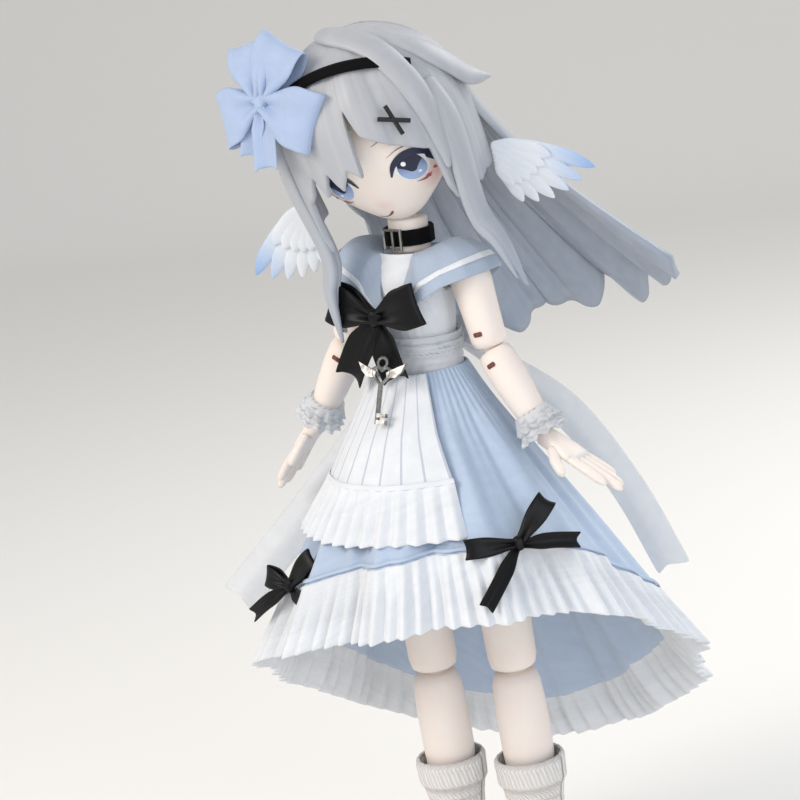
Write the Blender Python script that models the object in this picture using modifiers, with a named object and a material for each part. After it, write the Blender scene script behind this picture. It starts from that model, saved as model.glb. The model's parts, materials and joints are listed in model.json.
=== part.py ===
"""Ball jointed doll, about 160 mm tall, with moulded hair and a sewn dress.

The doll stands on z = 0, faces -Y and has its left side at +X. It is modelled in
the pose of the photograph. Every joint has an empty on its axis, and each piece
is parented to the empty of the joint that moves it. Limbs hang along -Z of their
own empty. A ball joint is a ball on a peg: the peg turns in a bore of one piece,
and the ball sits in a socket of the next. Elbows and knees are double joints on
a link with two lobes.
"""
import math

import bmesh
import bpy
from mathutils import Euler, Vector

MM = 0.001

# Fits and general sizes
GAP = 0.3 * MM
OVERRUN = 2.0 * MM
CLOTH = 0.5 * MM
MERGE = 0.00001
BALL_SIDES = 10
LIMB_SIDES = 12
TORSO_SIDES = 16

# Joint heights and limb lengths, from the soles up
ANKLE_RISE = 10.0 * MM
CALF_LENGTH = 37.0 * MM
THIGH_LENGTH = 35.0 * MM
HIP_X = 7.5 * MM
WAIST_RISE = 17.5 * MM
SHOULDER_X = 11.2 * MM
SHOULDER_RISE = 17.0 * MM
NECK_RISE = 17.3 * MM
NECK_Y = 0.5 * MM
NECK_LENGTH = 13.0 * MM
SKULL_RISE = 12.5 * MM
SKULL_Y = -1.0 * MM
UPPER_ARM_LENGTH = 13.0 * MM
FOREARM_LENGTH = 17.0 * MM
HAND_LENGTH = 17.0 * MM

# Resting pose, in degrees
CHEST_TURN = -8.0
CHEST_LEAN = 4.0
HEAD_TURN = 18.0
HEAD_NOD = 6.0
HEAD_ROLL = -14.0
ARM_RAISE = 13.0
ELBOW_BEND = 9.0
LEFT_WRIST_BEND = 26.0
RIGHT_WRIST_BEND = 4.0

# Balls, pegs and links
WAIST_BALL = 3.4 * MM
WAIST_PEG = 1.6 * MM
WAIST_PEG_LENGTH = 7.0 * MM
NECK_BALL = 2.9 * MM
HEAD_BALL = 2.6 * MM
HEAD_PEG = 1.1 * MM
SHOULDER_BALL = 2.3 * MM
SHOULDER_PEG = 1.1 * MM
SHOULDER_PEG_LENGTH = 7.5 * MM
HIP_BALL = 3.0 * MM
HIP_PEG = 1.4 * MM
HIP_PEG_LENGTH = 6.4 * MM
ELBOW_LOBE = 2.2 * MM
ELBOW_SPAN = 3.4 * MM
ELBOW_NECK = 1.3 * MM
KNEE_LOBE = 2.9 * MM
KNEE_SPAN = 4.2 * MM
KNEE_NECK = 1.8 * MM
WRIST_BALL = 1.6 * MM
WRIST_PEG = 0.8 * MM
WRIST_PEG_LENGTH = 4.5 * MM
ANKLE_BALL = 2.0 * MM
ANKLE_PEG = 1.0 * MM
ANKLE_PEG_LENGTH = 5.5 * MM
ELBOW_RIM = 1.4 * MM
KNEE_RIM = 1.75 * MM
CREASE_SLOPE = 0.75

# Body
PELVIS_WIDTH = 9.2 * MM
PELVIS_DEPTH = 5.7 * MM
PELVIS_DROP = 5.0 * MM
PELVIS_TOP = 15.5 * MM
PELVIS_SHARES = (
    (-1.0, 0.16, 0.42), (-0.45, 0.30, 0.72), (0.12, 0.88, 0.95), (0.38, 1.0, 1.0),
    (0.62, 0.90, 0.92), (0.85, 0.70, 0.80), (1.0, 0.66, 0.76),
)
CHEST_WIDTH = 6.5 * MM
CHEST_DEPTH = 5.2 * MM
CHEST_DROP = 0.6 * MM
CHEST_TOP = 19.2 * MM
CHEST_SHARES = (
    (-1.0, 0.86, 0.82), (0.15, 0.90, 0.88), (0.42, 0.95, 1.0), (0.66, 1.0, 1.06),
    (0.84, 1.02, 0.96), (0.94, 0.92, 0.82), (1.0, 0.68, 0.74),
)
NECK_RADIUS = 3.3 * MM
NECK_FLOOR = 3.1 * MM
NECK_CROWN = 8.6 * MM
ARM_RADIUS = 3.4 * MM
ELBOW_RADIUS = 3.0 * MM
WRIST_RADIUS = 2.35 * MM
THIGH_RADIUS = 4.9 * MM
KNEE_RADIUS = 4.2 * MM
CALF_RADIUS = 4.4 * MM
ANKLE_RADIUS = 3.0 * MM
ANKLE_STOP = 3.6 * MM
WRIST_STOP = 2.0 * MM
PALM_LENGTH = 8.0 * MM
PALM_WIDTH = 2.9 * MM
PALM_DEPTH = 1.25 * MM
FINGER_RADIUS = 0.78 * MM
THUMB_LENGTH = 6.0 * MM

# Head and hair
HEAD_WIDTH = 13.6 * MM
HEAD_DEPTH = 13.4 * MM
HEAD_TOP = 13.4 * MM
CHIN_DROP = 16.4 * MM
HAIR_RADIUS = 16.0 * MM
HAIR_WALL = 1.2 * MM
PART_Y = 2.2 * MM
BACK_HAIR_DROP = 44.0 * MM
BACK_HAIR_REACH = 42.0 * MM
CLUMP_GROOVE = 0.9 * MM
BACK_CLUMPS = 7
LONG_LOCK_DROP = 40.0 * MM
LOCK_WIDTH = 3.4 * MM
LOCK_DEPTH = 1.5 * MM
FLICK_LENGTH = 7.5 * MM
WING_LENGTH = 17.0 * MM
WING_CHORD = 4.2 * MM
WING_DEPTH = 0.8 * MM
WING_ROOT_X = 16.7 * MM
BAND_WIDTH = 2.2 * MM
BAND_DEPTH = 0.6 * MM
CLIP_ARM = 2.6 * MM
CLIP_RADIUS = 0.38 * MM

# Choker, collar and bodice
CHOKER_HEIGHT = 2.6 * MM
CHOKER_WALL = 0.6 * MM
CHOKER_RISE = 5.6 * MM
BUCKLE_SIZE = 3.2 * MM
BUCKLE_WIRE = 0.32 * MM
BODICE_FOOT = 2.9 * MM
BODICE_HEAD = 17.2 * MM
ARMHOLE_RADIUS = 4.9 * MM
COLLAR_NECK = 4.9 * MM
COLLAR_WIDTH = 2.9 * MM
COLLAR_BACK = 9.0 * MM
COLLAR_FRONT = 8.0 * MM
SASH_FOOT = 1.8 * MM
SASH_HEIGHT = 5.0 * MM
SASH_DEPTH = 0.8 * MM

# Skirt, apron and ruffles
SKIRT_RISE = 0.9 * MM
SKIRT_WAIST = 7.6 * MM
SKIRT_FRONT_DROP = 29.5 * MM
SKIRT_BACK_DROP = 59.0 * MM
SKIRT_FRONT_REACH = 27.0 * MM
SKIRT_BACK_REACH = 35.0 * MM
SKIRT_FOLD = 1.3 * MM
SKIRT_FOLDS = 13
RUFFLE_DEPTH = 10.5 * MM
RUFFLE_FLARE = 6.2 * MM
RUFFLE_PLEAT = 0.9 * MM
RUFFLE_PLEATS = 27
APRON_DROP = 16.0 * MM
APRON_HALF_ANGLE = 43.0
APRON_TURN = -8.0
APRON_LIFT = 1.3 * MM
APRON_RUFFLE_DEPTH = 8.0 * MM
APRON_RUFFLE_FLARE = 3.2 * MM
APRON_PLEAT = 0.7 * MM
APRON_PLEATS = 9

# Bows, charm, lace, socks and shoes
CHEST_BOW_WIDTH = 7.4 * MM
CHEST_BOW_HEIGHT = 4.2 * MM
CHEST_BOW_TAIL = 9.5 * MM
HAIR_BOW_WIDTH = 8.4 * MM
HAIR_BOW_HEIGHT = 5.4 * MM
HAIR_BOW_TAIL = 9.0 * MM
HEM_BOW_WIDTH = 6.0 * MM
HEM_BOW_HEIGHT = 2.0 * MM
HEM_BOW_TAIL = 10.0 * MM
HEM_BOW_TILT = 37.0
BACK_BOW_WIDTH = 9.0 * MM
BACK_BOW_HEIGHT = 5.0 * MM
TAIL_WIDTH = 3.0 * MM
KEY_LENGTH = 10.0 * MM
KEY_WIRE = 0.42 * MM
KEY_WING = 4.6 * MM
CHARM_RISE = 4.0 * MM
CHARM_FRONT = 10.9 * MM
CHARM_REST = -21.0
CHEST_BOW_RISE = 11.5 * MM
CUFF_RISE = 3.4 * MM
CUFF_DEPTH = 2.6 * MM
CUFF_FLARE = 1.5 * MM
SOCK_TOP = 14.0 * MM
SOCK_WALL = 0.6 * MM
SOCK_CUFF = 4.2 * MM
SOCK_CUFF_WALL = 1.1 * MM
SHOE_LENGTH = 21.5 * MM
SHOE_WIDTH = 4.3 * MM
SHOE_HEIGHT = 6.6 * MM
SHOE_WALL = 0.7 * MM
SOLE_DEPTH = 1.4 * MM
HEEL_Y = 7.6 * MM

PALETTE = {
    "skin": ((0.84, 0.76, 0.70), 0.45, 0.0),
    "joint": ((0.80, 0.72, 0.66), 0.5, 0.0),
    "hair": ((0.52, 0.53, 0.54), 0.42, 0.0),
    "feather": ((0.62, 0.68, 0.75), 0.45, 0.0),
    "black": ((0.01, 0.01, 0.012), 0.5, 0.0),
    "blue cloth": ((0.43, 0.52, 0.65), 0.85, 0.0),
    "white cloth": ((0.78, 0.78, 0.77), 0.85, 0.0),
    "silver": ((0.6, 0.6, 0.6), 0.3, 1.0),
    "satin": ((0.01, 0.01, 0.012), 0.35, 0.0),
}


# Scene, materials and placing
def clear_scene():
    """Remove whatever the scene holds."""
    for obj in list(bpy.data.objects):
        bpy.data.objects.remove(obj, do_unlink=True)


def new_collection(name):
    """A collection linked to the scene."""
    made = bpy.data.collections.new(name)
    bpy.context.scene.collection.children.link(made)
    return made


def material(kind):
    """The Principled material of a kind of surface, made once."""
    found = bpy.data.materials.get(kind)
    if found:
        return found
    colour, roughness, metallic = PALETTE[kind]
    made = bpy.data.materials.new(kind)
    made.use_nodes = True
    shader = made.node_tree.nodes["Principled BSDF"]
    shader.inputs["Base Color"].default_value = (*colour, 1.0)
    shader.inputs["Roughness"].default_value = roughness
    shader.inputs["Metallic"].default_value = metallic
    return made


def empty(name, parent, place=(0.0, 0.0, 0.0), turn=(0.0, 0.0, 0.0)):
    """An empty under its parent, turned by Euler angles in degrees."""
    made = bpy.data.objects.new(name, None)
    made.empty_display_size = GAP
    bpy.data.collections["ball_jointed_doll"].objects.link(made)
    made.parent = parent
    made.location = place
    made.rotation_euler = Euler([math.radians(angle) for angle in turn])
    return made


def place(obj, name, kind, parent, shade=40.0):
    """Name a finished piece, give it its material and hang it on its joint."""
    trimmed(obj)
    obj.name = name
    obj.data.name = name
    obj.data.materials.clear()
    obj.data.materials.append(material(kind))
    obj.data.shade_smooth()
    obj.data.set_sharp_from_angle(angle=math.radians(shade))
    obj.parent = parent
    return obj


# Shapes, each made about the origin of its joint
def mesh_object(name, mesh, group="ball_jointed_doll"):
    """Put a mesh in the scene."""
    made = bpy.data.objects.new(name, mesh)
    bpy.data.collections[group].objects.link(made)
    return made


def from_bmesh(name, shape):
    """Turn a bmesh into an object, with its faces outward."""
    bmesh.ops.recalc_face_normals(shape, faces=shape.faces)
    mesh = bpy.data.meshes.new(name)
    shape.to_mesh(mesh)
    shape.free()
    return mesh_object(name, mesh)


def ball(name, radius, centre=(0.0, 0.0, 0.0), sides=BALL_SIDES, scale=(1.0, 1.0, 1.0)):
    """A sphere, or an ellipsoid when it is scaled."""
    shape = bmesh.new()
    bmesh.ops.create_uvsphere(shape, u_segments=sides, v_segments=sides // 2 + 1, radius=radius)
    bmesh.ops.scale(shape, vec=scale, verts=shape.verts)
    bmesh.ops.translate(shape, vec=centre, verts=shape.verts)
    return from_bmesh(name, shape)


def rod(name, start, end, radius, end_radius=None, sides=BALL_SIDES):
    """A cylinder or a cone between two points."""
    start, end = Vector(start), Vector(end)
    along = end - start
    shape = bmesh.new()
    bmesh.ops.create_cone(
        shape, cap_ends=True, segments=sides, radius1=radius,
        radius2=radius if end_radius is None else end_radius, depth=along.length,
    )
    bmesh.ops.rotate(shape, matrix=along.to_track_quat("Z", "Y").to_matrix(), verts=shape.verts)
    bmesh.ops.translate(shape, vec=(start + end) / 2, verts=shape.verts)
    return from_bmesh(name, shape)


def box(name, low, high):
    """A box between two corners."""
    low, high = Vector(low), Vector(high)
    shape = bmesh.new()
    bmesh.ops.create_cube(shape, size=1.0)
    bmesh.ops.scale(shape, vec=high - low, verts=shape.verts)
    bmesh.ops.translate(shape, vec=(low + high) / 2, verts=shape.verts)
    return from_bmesh(name, shape)


def loft(name, rings):
    """A closed body through rings of points, all with the same count."""
    shape = bmesh.new()
    rows = [[shape.verts.new(point) for point in ring] for ring in rings]
    count = len(rows[0])
    for upper, lower in zip(rows, rows[1:]):
        for i in range(count):
            j = (i + 1) % count
            shape.faces.new((upper[i], upper[j], lower[j], lower[i]))
    shape.faces.new(rows[0])
    shape.faces.new(rows[-1])
    return from_bmesh(name, shape)


def ellipse_ring(centre, across, deep, sides, x_axis=(1, 0, 0), y_axis=(0, 1, 0), power=1.0):
    """Points round an ellipse; a power below one makes it squarer."""
    centre, x_axis, y_axis = Vector(centre), Vector(x_axis), Vector(y_axis)
    points = []
    for i in range(sides):
        angle = math.tau * i / sides
        c, s = math.cos(angle), math.sin(angle)
        c = math.copysign(abs(c) ** power, c)
        s = math.copysign(abs(s) ** power, s)
        points.append(centre + x_axis * across * c + y_axis * deep * s)
    return points


def stack(name, shares, height, drop, across, deep, sides=TORSO_SIDES):
    """A torso form: ellipses stacked from -drop to height, sized by their shares."""
    rings = []
    for rise, wide, thick in shares:
        z = rise * (height if rise > 0 else drop)
        rings.append(ellipse_ring((0, 0, z), across * wide, deep * thick, sides))
    return loft(name, rings)


def turned(name, profile, sides=LIMB_SIDES):
    """A turned solid. The profile runs from top to bottom, as (radius, z)."""
    mesh = bpy.data.meshes.new(name)
    points = [(radius, 0.0, z) for radius, z in profile]
    mesh.from_pydata(points, [(i, i + 1) for i in range(len(points) - 1)], [])
    made = mesh_object(name, mesh)
    screw = made.modifiers.new("turn", "SCREW")
    screw.steps = sides
    screw.render_steps = sides
    screw.use_merge_vertices = True
    screw.merge_threshold = MERGE
    return welded(applied(made))


def dome(radius, z=0.0, start=90.0, stop=0.0, steps=4):
    """Profile points along an arc about (0, z), from one elevation to another."""
    points = []
    for i in range(steps + 1):
        angle = math.radians(start + (stop - start) * i / steps)
        points.append((max(radius * math.cos(angle), 0.0), z + radius * math.sin(angle)))
    return points


def strand(name, points, widths, depth, outward, sides=6):
    """A tapered lock along points; its flat side faces away from a centre."""
    points = [Vector(point) for point in points]
    rings = []
    for i, point in enumerate(points):
        along = (points[min(i + 1, len(points) - 1)] - points[max(i - 1, 0)]).normalized()
        out = point - Vector(outward)
        out = (out - along * out.dot(along)).normalized()
        across = along.cross(out)
        thick = depth * min(1.0, widths[i] / max(widths) + 0.25)
        rings.append(ellipse_ring(point, widths[i], thick, sides, across, out))
    return loft(name, rings)


def sheet(name, rows, depth, wrap=False, offset=-1.0):
    """Cloth or another thin wall over rows of points, thickened by Solidify."""
    shape = bmesh.new()
    made = [[shape.verts.new(point) for point in row] for row in rows]
    count = len(made[0])
    for upper, lower in zip(made, made[1:]):
        for i in range(count if wrap else count - 1):
            j = (i + 1) % count
            shape.faces.new((upper[i], lower[i], lower[j], upper[j]))
    bmesh.ops.remove_doubles(shape, verts=shape.verts, dist=MERGE)
    mesh = bpy.data.meshes.new(name)
    shape.to_mesh(mesh)
    shape.free()
    cloth = mesh_object(name, mesh)
    solid = cloth.modifiers.new("thickness", "SOLIDIFY")
    solid.thickness = depth
    solid.offset = offset
    return applied(cloth)


def outline(name, points, depth):
    """A flat plate: a closed outline in XZ, extruded to both sides of y = 0."""
    curve = bpy.data.curves.new(name, "CURVE")
    curve.dimensions = "2D"
    curve.fill_mode = "BOTH"
    curve.extrude = depth / 2
    spline = curve.splines.new("POLY")
    spline.points.add(len(points) - 1)
    for point, (x, z) in zip(spline.points, points):
        point.co = (x, z, 0.0, 1.0)
    spline.use_cyclic_u = True
    made = mesh_object(name, curve)
    made.rotation_euler = (math.pi / 2, 0.0, 0.0)
    return meshed(made)


def wire(name, points, radius, closed=False, sides=2):
    """A round wire along points."""
    curve = bpy.data.curves.new(name, "CURVE")
    curve.dimensions = "3D"
    curve.bevel_depth = radius
    curve.bevel_resolution = sides - 1
    curve.use_fill_caps = True
    spline = curve.splines.new("POLY")
    spline.points.add(len(points) - 1)
    for knot, point in zip(spline.points, points):
        knot.co = (*point, 1.0)
    spline.use_cyclic_u = closed
    return meshed(mesh_object(name, curve))


# Operations on shapes
def meshed(obj):
    """Turn an evaluated curve into a mesh object with welded caps."""
    bpy.context.view_layer.update()
    graph = bpy.context.evaluated_depsgraph_get()
    mesh = bpy.data.meshes.new_from_object(obj.evaluated_get(graph))
    mesh.transform(obj.matrix_world)
    shape = bmesh.new()
    shape.from_mesh(mesh)
    bmesh.ops.remove_doubles(shape, verts=shape.verts, dist=MERGE)
    name = obj.name
    bpy.data.objects.remove(obj)
    bpy.data.meshes.remove(mesh)
    return from_bmesh(name, shape)


def welded(obj):
    """Weld the points of a shape that coincide."""
    shape = bmesh.new()
    shape.from_mesh(obj.data)
    bmesh.ops.remove_doubles(shape, verts=shape.verts, dist=MERGE)
    shape.to_mesh(obj.data)
    shape.free()
    return obj


def evaluated(obj):
    """The mesh of an object with its modifiers worked out."""
    bpy.context.view_layer.update()
    graph = bpy.context.evaluated_depsgraph_get()
    return bpy.data.meshes.new_from_object(obj.evaluated_get(graph))


def applied(obj):
    """Apply the modifiers of an object that has not been placed yet."""
    mesh = evaluated(obj)
    obj.modifiers.clear()
    obj.data = mesh
    return obj


def closed(mesh):
    """Whether every edge of a mesh lies between two faces."""
    shape = bmesh.new()
    shape.from_mesh(mesh)
    found = all(edge.is_manifold for edge in shape.edges)
    shape.free()
    return found


def trimmed(obj):
    """Keep the outer shell of a finished piece, without sealed pockets and slivers."""
    shape = bmesh.new()
    shape.from_mesh(obj.data)
    rest, outer = set(shape.faces), set()
    while rest:
        shell, queue = set(), [next(iter(rest))]
        while queue:
            face = queue.pop()
            if face not in shell:
                shell.add(face)
                queue.extend(near for edge in face.edges for near in edge.link_faces)
        rest -= shell
        outer = max(outer, shell, key=lambda found: sum(face.calc_area() for face in found))
    loose = [face for face in shape.faces if face not in outer]
    bmesh.ops.delete(shape, geom=loose, context="FACES")
    shape.to_mesh(obj.data)
    shape.free()
    return obj


def boolean(obj, others, operation):
    """Cut other shapes from an object or join them to it, and remove them.

    The exact solver is used, and the manifold one only where it leaves open edges.
    """
    for other in others:
        step = obj.modifiers.new(operation.lower(), "BOOLEAN")
        step.operation = operation
        step.object = other
        step.solver = "EXACT"
        mesh = evaluated(obj)
        if not closed(mesh):
            step.solver = "MANIFOLD"
            mesh = evaluated(obj)
        obj.modifiers.clear()
        obj.data = mesh
        bpy.data.objects.remove(other)
    return obj


def cut(obj, *others):
    """Cut shapes out of an object."""
    return boolean(obj, others, "DIFFERENCE")


def join(obj, *others):
    """Unite shapes that overlap into one solid."""
    return boolean(obj, others, "UNION")


def moved(obj, place=(0.0, 0.0, 0.0), turn=(0.0, 0.0, 0.0), scale=(1.0, 1.0, 1.0)):
    """Scale, turn (degrees) and shift the mesh of a shape."""
    shape = bmesh.new()
    shape.from_mesh(obj.data)
    bmesh.ops.scale(shape, vec=scale, verts=shape.verts)
    rotation = Euler([math.radians(angle) for angle in turn]).to_matrix()
    bmesh.ops.rotate(shape, matrix=rotation, verts=shape.verts)
    bmesh.ops.translate(shape, vec=place, verts=shape.verts)
    bmesh.ops.recalc_face_normals(shape, faces=shape.faces)
    shape.to_mesh(obj.data)
    shape.free()
    return obj


def faced(obj, place, out):
    """Turn the front of a shape, at -Y, along a direction, and shift it."""
    turn = Vector(out).to_track_quat("-Y", "Z").to_euler()
    return moved(obj, place, [math.degrees(angle) for angle in turn])


def blend(a, b, share):
    """The value or point that lies the given share of the way from a to b."""
    return a + (b - a) * share


def table(shares, t):
    """Read a table of (position, value) shares at t, by straight lines."""
    for (t0, v0), (t1, v1) in zip(shares, shares[1:]):
        if t <= t1:
            return blend(v0, v1, (t - t0) / (t1 - t0))
    return shares[-1][1]


# Joints: one empty on each axis
def make_rig():
    """The tree of empties that carries the pieces, by name."""
    rig = {}

    def add(name, parent, place=(0.0, 0.0, 0.0), turn=(0.0, 0.0, 0.0)):
        rig[name] = empty(name, rig.get(parent), place, turn)

    hip_z = ANKLE_RISE + CALF_LENGTH + THIGH_LENGTH
    add("doll", None)
    add("pelvis_frame", "doll", (0, 0, hip_z))
    add("waist_turn", "pelvis_frame", (0, 0, WAIST_RISE), (0, 0, CHEST_TURN))
    add("waist_lean", "waist_turn", (0, 0, 0), (0, CHEST_LEAN, 0))
    add("neck_tilt", "waist_lean", (0, NECK_Y, NECK_RISE))
    add("head_turn", "neck_tilt", (0, 0, NECK_LENGTH), (0, 0, HEAD_TURN))
    add("head_nod", "head_turn", (0, 0, 0), (HEAD_NOD, HEAD_ROLL, 0))
    add("skull", "head_nod", (0, SKULL_Y, SKULL_RISE))
    add("charm_swing", "waist_lean", (0, -CHARM_FRONT, CHARM_RISE), (CHARM_REST, 0, 0))
    for side, word in ((1, "left"), (-1, "right")):
        wrist_bend = LEFT_WRIST_BEND if side > 0 else RIGHT_WRIST_BEND
        add(f"{word}_shoulder_swing", "waist_lean", (side * SHOULDER_X, 0, SHOULDER_RISE))
        add(f"{word}_arm_raise", f"{word}_shoulder_swing", (0, 0, 0), (0, -side * ARM_RAISE, 0))
        add(f"{word}_elbow_upper", f"{word}_arm_raise",
            (0, 0, -UPPER_ARM_LENGTH + ELBOW_SPAN / 2), (0, -side * ELBOW_BEND, 0))
        add(f"{word}_elbow_lower", f"{word}_elbow_upper", (0, 0, -ELBOW_SPAN),
            (0, -side * ELBOW_BEND, 0))
        add(f"{word}_wrist_turn", f"{word}_elbow_lower", (0, 0, -FOREARM_LENGTH + ELBOW_SPAN / 2))
        add(f"{word}_wrist_bend", f"{word}_wrist_turn", (0, 0, 0), (0, -side * wrist_bend, 0))
        add(f"{word}_hip_swing", "pelvis_frame", (side * HIP_X, 0, 0))
        add(f"{word}_hip_spread", f"{word}_hip_swing")
        add(f"{word}_knee_upper", f"{word}_hip_spread", (0, 0, -THIGH_LENGTH + KNEE_SPAN / 2))
        add(f"{word}_knee_lower", f"{word}_knee_upper", (0, 0, -KNEE_SPAN))
        add(f"{word}_ankle_turn", f"{word}_knee_lower", (0, 0, -CALF_LENGTH + KNEE_SPAN / 2))
        add(f"{word}_foot_nod", f"{word}_ankle_turn")
    bpy.context.view_layer.update()
    return rig


# Torso
def make_pelvis(rig):
    """The pelvis, hollowed over the thighs and bored for the waist and hip pegs."""
    pelvis = stack("pelvis", PELVIS_SHARES, PELVIS_TOP, PELVIS_DROP, PELVIS_WIDTH, PELVIS_DEPTH)
    for side in (1, -1):
        room = THIGH_RADIUS + 3 * GAP
        edges = sorted((side * (HIP_X - room), side * 2 * PELVIS_WIDTH))
        hollow = box("hollow", (edges[0], -2 * PELVIS_DEPTH, -2 * PELVIS_DROP),
                     (edges[1], 2 * PELVIS_DEPTH, room))
        reach = side * (HIP_X - HIP_PEG_LENGTH - GAP)
        bore = rod("bore", (side * HIP_X, 0, 0), (reach, 0, 0), HIP_PEG + GAP)
        cut(pelvis, hollow, bore)
    foot = WAIST_RISE - WAIST_PEG_LENGTH - GAP
    cut(pelvis, rod("bore", (0, 0, foot), (0, 0, WAIST_RISE), WAIST_PEG + GAP),
        ball("seat", WAIST_BALL + GAP, (0, 0, WAIST_RISE)))
    place(pelvis, "pelvis", "skin", rig["pelvis_frame"])


def make_waist_ball(rig):
    """The waist ball on its peg."""
    peg = rod("peg", (0, 0, 0), (0, 0, -WAIST_PEG_LENGTH), WAIST_PEG)
    place(join(ball("ball", WAIST_BALL), peg), "waist_ball", "joint", rig["waist_turn"])


def make_chest(rig):
    """The chest, with sockets for waist and neck and bores for the shoulder pegs."""
    chest = stack("chest", CHEST_SHARES, CHEST_TOP, CHEST_DROP, CHEST_WIDTH, CHEST_DEPTH)
    cut(chest, ball("socket", WAIST_BALL + GAP),
        ball("neck_socket", NECK_BALL + GAP, (0, NECK_Y, NECK_RISE)),
        rod("neck_mouth", (0, NECK_Y, NECK_RISE), (0, NECK_Y, NECK_RISE + NECK_FLOOR),
            NECK_BALL * 0.8, NECK_RADIUS + GAP * 4, LIMB_SIDES))
    for side in (1, -1):
        tip = side * (SHOULDER_X - SHOULDER_PEG_LENGTH - GAP)
        centre = (side * SHOULDER_X, 0, SHOULDER_RISE)
        bore = rod("bore", centre, (tip, 0, SHOULDER_RISE), SHOULDER_PEG + GAP)
        cut(chest, bore, ball("clearance", ARM_RADIUS + 2 * GAP, centre, LIMB_SIDES))
    place(chest, "chest", "skin", rig["waist_lean"])


def make_neck(rig):
    """The neck: a ball in the chest, a round column and a peg for the head ball."""
    neck = turned("neck", [
        (0, NECK_LENGTH + HEAD_PEG / 2), (HEAD_PEG, NECK_LENGTH + HEAD_PEG / 2), (HEAD_PEG, NECK_CROWN),
        (NECK_RADIUS * 0.9, NECK_CROWN), (NECK_RADIUS, NECK_CROWN - GAP),
        (NECK_RADIUS, NECK_FLOOR), *dome(NECK_BALL, start=52, stop=-90, steps=6),
    ])
    place(neck, "neck", "skin", rig["neck_tilt"])


def make_head_ball(rig):
    """The ball that turns on the neck's peg and carries the head."""
    head_ball = ball("head_ball", HEAD_BALL)
    bore = rod("bore", (0, 0, -HEAD_BALL - OVERRUN), (0, 0, HEAD_PEG / 2 + GAP), HEAD_PEG + GAP)
    place(cut(head_ball, bore), "head_ball", "joint", rig["head_turn"])


# Arms
def swivel_ball(name, radius, peg, length, direction, parent):
    """A ball with a peg along a direction."""
    end = Vector(direction) * length
    place(join(ball("ball", radius), rod("peg", (0, 0, 0), end, peg)), name, "joint", parent)


def slot_cutter(side, peg, reach):
    """The slot in which a peg travels, from the inner side over the top."""
    half = peg + GAP
    inner, outer = -side * reach, side * half
    return box("slot", (min(inner, outer), -half, -half), (max(inner, outer), half, reach))


def link(name, lobe, span, neck, parent):
    """A double-joint link: two lobes and the neck between them."""
    piece = join(ball("upper", lobe), rod("neck", (0, 0, 0), (0, 0, -span), neck),
                 ball("lower", lobe, (0, 0, -span)))
    place(piece, name, "joint", parent)


def crease_cutter(direction, rim, radius, flip):
    """The wedge that opens a rim on the side to which a double joint bends."""
    low = -rim - radius - OVERRUN
    reach = 2 * radius
    rise = CREASE_SLOPE * (reach + rim)
    points = [(-rim, -rim), (reach, rise - rim), (reach, low), (-rim, low)]
    wedge = outline("crease", points, 4 * radius)
    moved(wedge, scale=(1, 1, -1) if flip else (1, 1, 1))
    if direction == "+Y":
        return moved(wedge, turn=(0, 0, 90))
    return moved(wedge, turn=(0, 0, 0 if direction == "+X" else 180))


def limb(name, profile, cutters, kind, parent):
    """A round limb piece with its sockets cut."""
    place(cut(turned(name, profile), *cutters), name, kind, parent)


def make_arm(rig, side, word):
    """The five pieces of an arm above the hand, and the hand."""
    outward = "+X" if side > 0 else "-X"
    upper = UPPER_ARM_LENGTH - ELBOW_SPAN / 2
    lower = FOREARM_LENGTH - ELBOW_SPAN / 2
    peg_end = (-side, 0, 0)
    swivel_ball(f"{word}_shoulder_ball", SHOULDER_BALL, SHOULDER_PEG, SHOULDER_PEG_LENGTH,
                peg_end, rig[f"{word}_shoulder_swing"])
    limb(f"{word}_upper_arm", [
        *dome(ARM_RADIUS), (ARM_RADIUS * 0.97, -upper * 0.4), (ELBOW_RADIUS, -upper * 0.85),
        (ELBOW_RADIUS, -upper - ELBOW_RIM * 0.6), (ELBOW_RADIUS * 0.88, -upper - ELBOW_RIM),
        (0, -upper - ELBOW_RIM),
    ], [
        ball("socket", SHOULDER_BALL + GAP), slot_cutter(side, SHOULDER_PEG, ARM_RADIUS + OVERRUN),
        ball("cup", ELBOW_LOBE + GAP, (0, 0, -upper)),
        moved(crease_cutter(outward, ELBOW_RIM, ELBOW_RADIUS, False), (0, 0, -upper)),
    ], "skin", rig[f"{word}_arm_raise"])
    link(f"{word}_elbow_link", ELBOW_LOBE, ELBOW_SPAN, ELBOW_NECK, rig[f"{word}_elbow_upper"])
    bore = rod("bore", (0, 0, -lower), (0, 0, -lower + WRIST_PEG_LENGTH + GAP), WRIST_PEG + GAP)
    limb(f"{word}_forearm", [
        (0, ELBOW_RIM), (ELBOW_RADIUS * 0.88, ELBOW_RIM), (ELBOW_RADIUS, ELBOW_RIM * 0.6),
        (ELBOW_RADIUS * 1.04, -lower * 0.3), (WRIST_RADIUS, -lower * 0.82),
        (WRIST_RADIUS, -lower + WRIST_STOP), (0, -lower + WRIST_STOP),
    ], [
        ball("cup", ELBOW_LOBE + GAP), crease_cutter(outward, ELBOW_RIM, ELBOW_RADIUS, True), bore,
    ], "skin", rig[f"{word}_elbow_lower"])
    swivel_ball(f"{word}_wrist_ball", WRIST_BALL, WRIST_PEG, WRIST_PEG_LENGTH, (0, 0, 1),
                rig[f"{word}_wrist_turn"])
    make_hand(rig, side, word)


FINGER_SHARES = ((-0.78, 0.90), (-0.27, 1.0), (0.25, 0.96), (0.76, 0.80))
PALM_SHARES = ((0.0, 0.66, 1.5), (0.16, 0.80, 1.35), (0.5, 1.0, 1.0), (1.0, 0.98, 0.72))


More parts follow.
